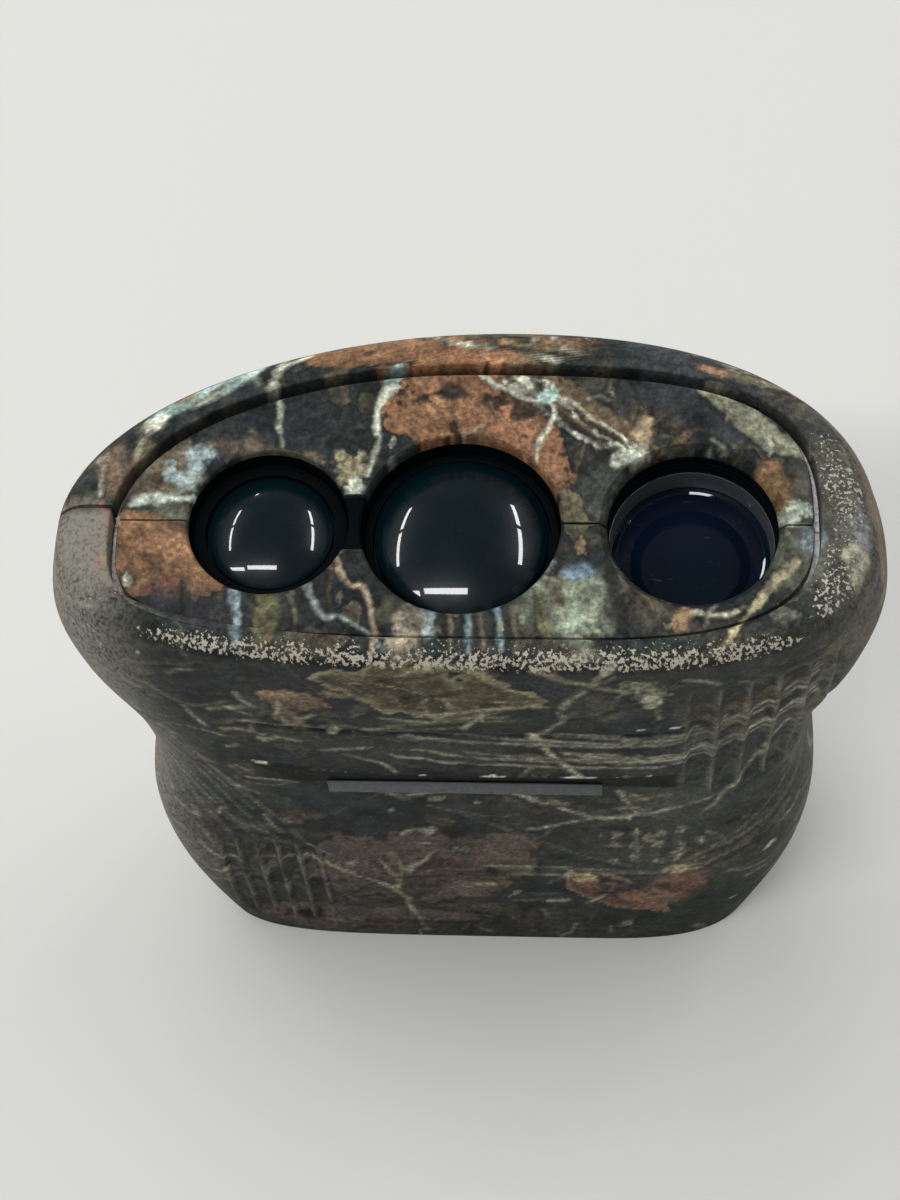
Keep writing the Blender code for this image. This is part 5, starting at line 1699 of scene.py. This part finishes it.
def make_dioptre(mat, paint):
    """The ring that turns round the eyepiece, with a knurled grip and a mark."""
    profile = [(14.0, 6.5), (14.0, 5.3), (13.85, 5.1), (13.0, 5.1), (13.0, 4.7), (13.0, 4.5),
               (13.0, 1.9), (13.0, 1.7), (13.0, 1.3), (12.6, 0.9), (11.6, 0.9), (11.2, 1.3),
               (11.2, 6.5)]
    ring = turned("dioptre_grip", mat, (EYE_X, 0), profile, ring=True, steps=288)
    teeth = 48
    for v in ring.data.vertices:
        x, y = v.co.x / MM - EYE_X, v.co.y / MM - SEAM_Y
        away, z = math.hypot(x, y), v.co.z / MM
        if 12.95 < away < 13.05 and 1.8 < z < 4.6:
            notch = 0.35 * (0.5 + 0.5 * math.cos(math.atan2(y, x) * teeth)) ** 2
            v.co.x = (EYE_X + x * (1 - notch / away)) * MM
            v.co.y = (y * (1 - notch / away) + SEAM_Y) * MM
    mark = box("mark", (EYE_X - 0.6, 11.75, 0.6), (EYE_X + 0.6, 12.65, 1.5), bevel=0.15)
    join(ring, (mark,))
    ring.data.materials.append(paint)
    for face in ring.data.polygons:
        spot = face.center / MM
        on_mark = abs(spot.x - EYE_X) < 0.62 and 11.7 < spot.y - SEAM_Y < 12.7 and spot.z < 0.88
        face.material_index = 1 if on_mark else 0
    shade(ring, 30)
    finish_piece(ring, "dioptre_ring", "black_plastic", "dioptre_ring")


def make_eyecup(mat):
    """The rubber lip round the eyepiece."""
    profile = [(10.9, 2.8)] + round_edge((10.3, 1.2), 0.6, 0, -90, 6)
    profile += round_edge((9.0, 1.1), 0.5, -90, -180, 6) + [(8.2, 1.7), (8.0, 2.1), (8.0, 2.8)]
    cup = turned("eyecup_rubber", mat, (EYE_X, 0), profile, ring=True, steps=128)
    finish_piece(cup, "root", "dark_rubber", "eyecup")


def make_eye_lens(name, middle, edge, ball, mat):
    """A lens with two domed faces, `edge` thick at its rim."""
    radius, steps = 9.3, 16
    face = domed(edge / 2 + sag(ball, radius), radius, ball, steps)
    profile = [(r, middle + h) for r, h in face] + [(r, middle - h) for r, h in reversed(face)]
    lens = turned(name + "_fine", mat, (EYE_X, 0), profile, steps=96)
    finish_piece(lens, "root", "coated_glass", name)


def make_screws(mat):
    """Pan heads with a cross recess."""
    for i in range(1, 5):
        low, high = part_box(f"rear_cover_screw_{i}")
        x, y = (low.x + high.x) / 2 / MM, (low.y + high.y) / 2 / MM - SEAM_Y
        profile = [(0, 9.4), (0.55, 9.4), (0.9, 9.0)]
        for k in range(12):
            z = 8.8 - 0.4 * k
            profile += [(0.9, z), (0.72, z - 0.2)]
        profile += [(0.9, 4.0), (1.9, 4.0)] + round_edge((1.6, 3.2), 0.3, 0, -90, 4) + [(0, 2.9)]
        screw = turned(f"cover_screw_{i}_fine", mat, (x, y), profile, steps=48)
        for wide, deep in ((1.1, 0.2), (0.2, 1.1)):
            cut(screw, [box("slot", (x - wide, y - deep, 2.0), (x + wide, y + deep, 3.5))])
        shade(screw, 30)
        finish_piece(screw, "root", "steel", f"rear_cover_screw_{i}")


def make_lug(mat):
    """The steel bow for the strap."""
    data = bpy.data.curves.new("strap_bow", "CURVE")
    data.dimensions = "3D"
    data.bevel_depth = 1.1 * MM
    data.bevel_resolution = 6
    data.use_fill_caps = True
    bend, top, root = 1.2, 30.0, 14.0
    route = [(-LUG_LEG, root)]
    for side in (-1, 1):
        for i in range(9):
            angle = math.pi / 2 * (i / 8 if side < 0 else 1 - i / 8)
            route.append((side * (LUG_LEG - bend + bend * math.cos(angle)),
                          top - bend + bend * math.sin(angle)))
    route.append((LUG_LEG, root))
    spline = data.splines.new("POLY")
    spline.points.add(len(route) - 1)
    for point, (x, y) in zip(spline.points, route):
        point.co = (*at(LUG_X + x, y, LUG_Z), 1.0)
    obj = bpy.data.objects.new("strap_bow_curve", data)
    bpy.context.scene.collection.objects.link(obj)
    bpy.context.view_layer.update()
    graph = bpy.context.evaluated_depsgraph_get()
    mesh = bpy.data.meshes.new_from_object(obj.evaluated_get(graph), depsgraph=graph)
    bpy.data.objects.remove(obj)
    bm = bmesh.new()
    bm.from_mesh(mesh)
    bmesh.ops.remove_doubles(bm, verts=bm.verts, dist=0.000001)
    bm.to_mesh(mesh)
    bm.free()
    mesh.materials.clear()
    bow = mesh_object("strap_bow", mesh, mat)
    shade(bow, 40)
    finish_piece(bow, "root", "steel", "strap_lug")


def dress(mat, *nodes):
    """Gives CAD nodes that stay a procedural material."""
    for name in nodes:
        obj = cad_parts[name]
        if not obj.material_slots:
            obj.data.materials.append(mat)
        for material_slot in obj.material_slots:
            material_slot.material = mat


def dress_inside(black, steel, grey, glass):
    """Materials for the CAD nodes that have no finer piece."""
    board = circuit("circuit_board")
    dress(board, "laser_board", "detector_board", "main_board", "button_board")
    dress(black, "rear_cover", "battery_door", "transmitter_tube", "receiver_tube",
          "prism_housing", "eyepiece_tube", "battery_tray", "battery_contacts", "processor",
          "fire_switch", "mode_switch")
    dress(grey, "optics_frame", "laser_diode", "receiver_detector", "display_panel")
    dress(glass, "prism")
    dress(steel, *[f"frame_screw_{i}" for i in range(1, 5)])
    dress(battery_skin("battery_skin"), "battery", "charge_capacitor")


def build():
    add_camera()
    add_lights()
    add_floor()
    black = black_plastic("black_plastic")
    grey = painted_metal("grey_metal", (0.10, 0.10, 0.11))
    steel = metal("steel", (0.50, 0.50, 0.51))
    pale_ring = painted_metal("ring_metal", (0.17, 0.18, 0.19))
    soft = rubber("dark_rubber")
    glass = clear_glass("clear_glass")
    make_sleeve(camo("camo_rubber", 0.62, 0.05, 0.16))
    make_fronts(camo("camo_plastic", 0.50, 0.02, 0.25))
    deep = black_plastic("bezel_black", 0.42, 0.006, (0.002, 0.0028, 0.0034), 0.03)
    make_lens_bezel(deep)
    make_lenses(filter_glass("filter_glass"), objective_glass("objective_glass"), deep, pale_ring)
    make_nameplate(label_metal("label_plate"))
    make_buttons(soft)
    make_dioptre(black, painted_metal("mark_paint", (0.62, 0.61, 0.57)))
    make_eyecup(soft)
    make_eye_lens("eye_lens", 8.0, 1.6, 22.0, glass)
    make_eye_lens("field_lens", 24.0, 1.4, 30.0, glass)
    make_screws(steel)
    make_lug(steel)
    dress_inside(black, steel, grey, glass)


build()
view = bpy.context.scene.view_settings
view.view_transform = "Standard"
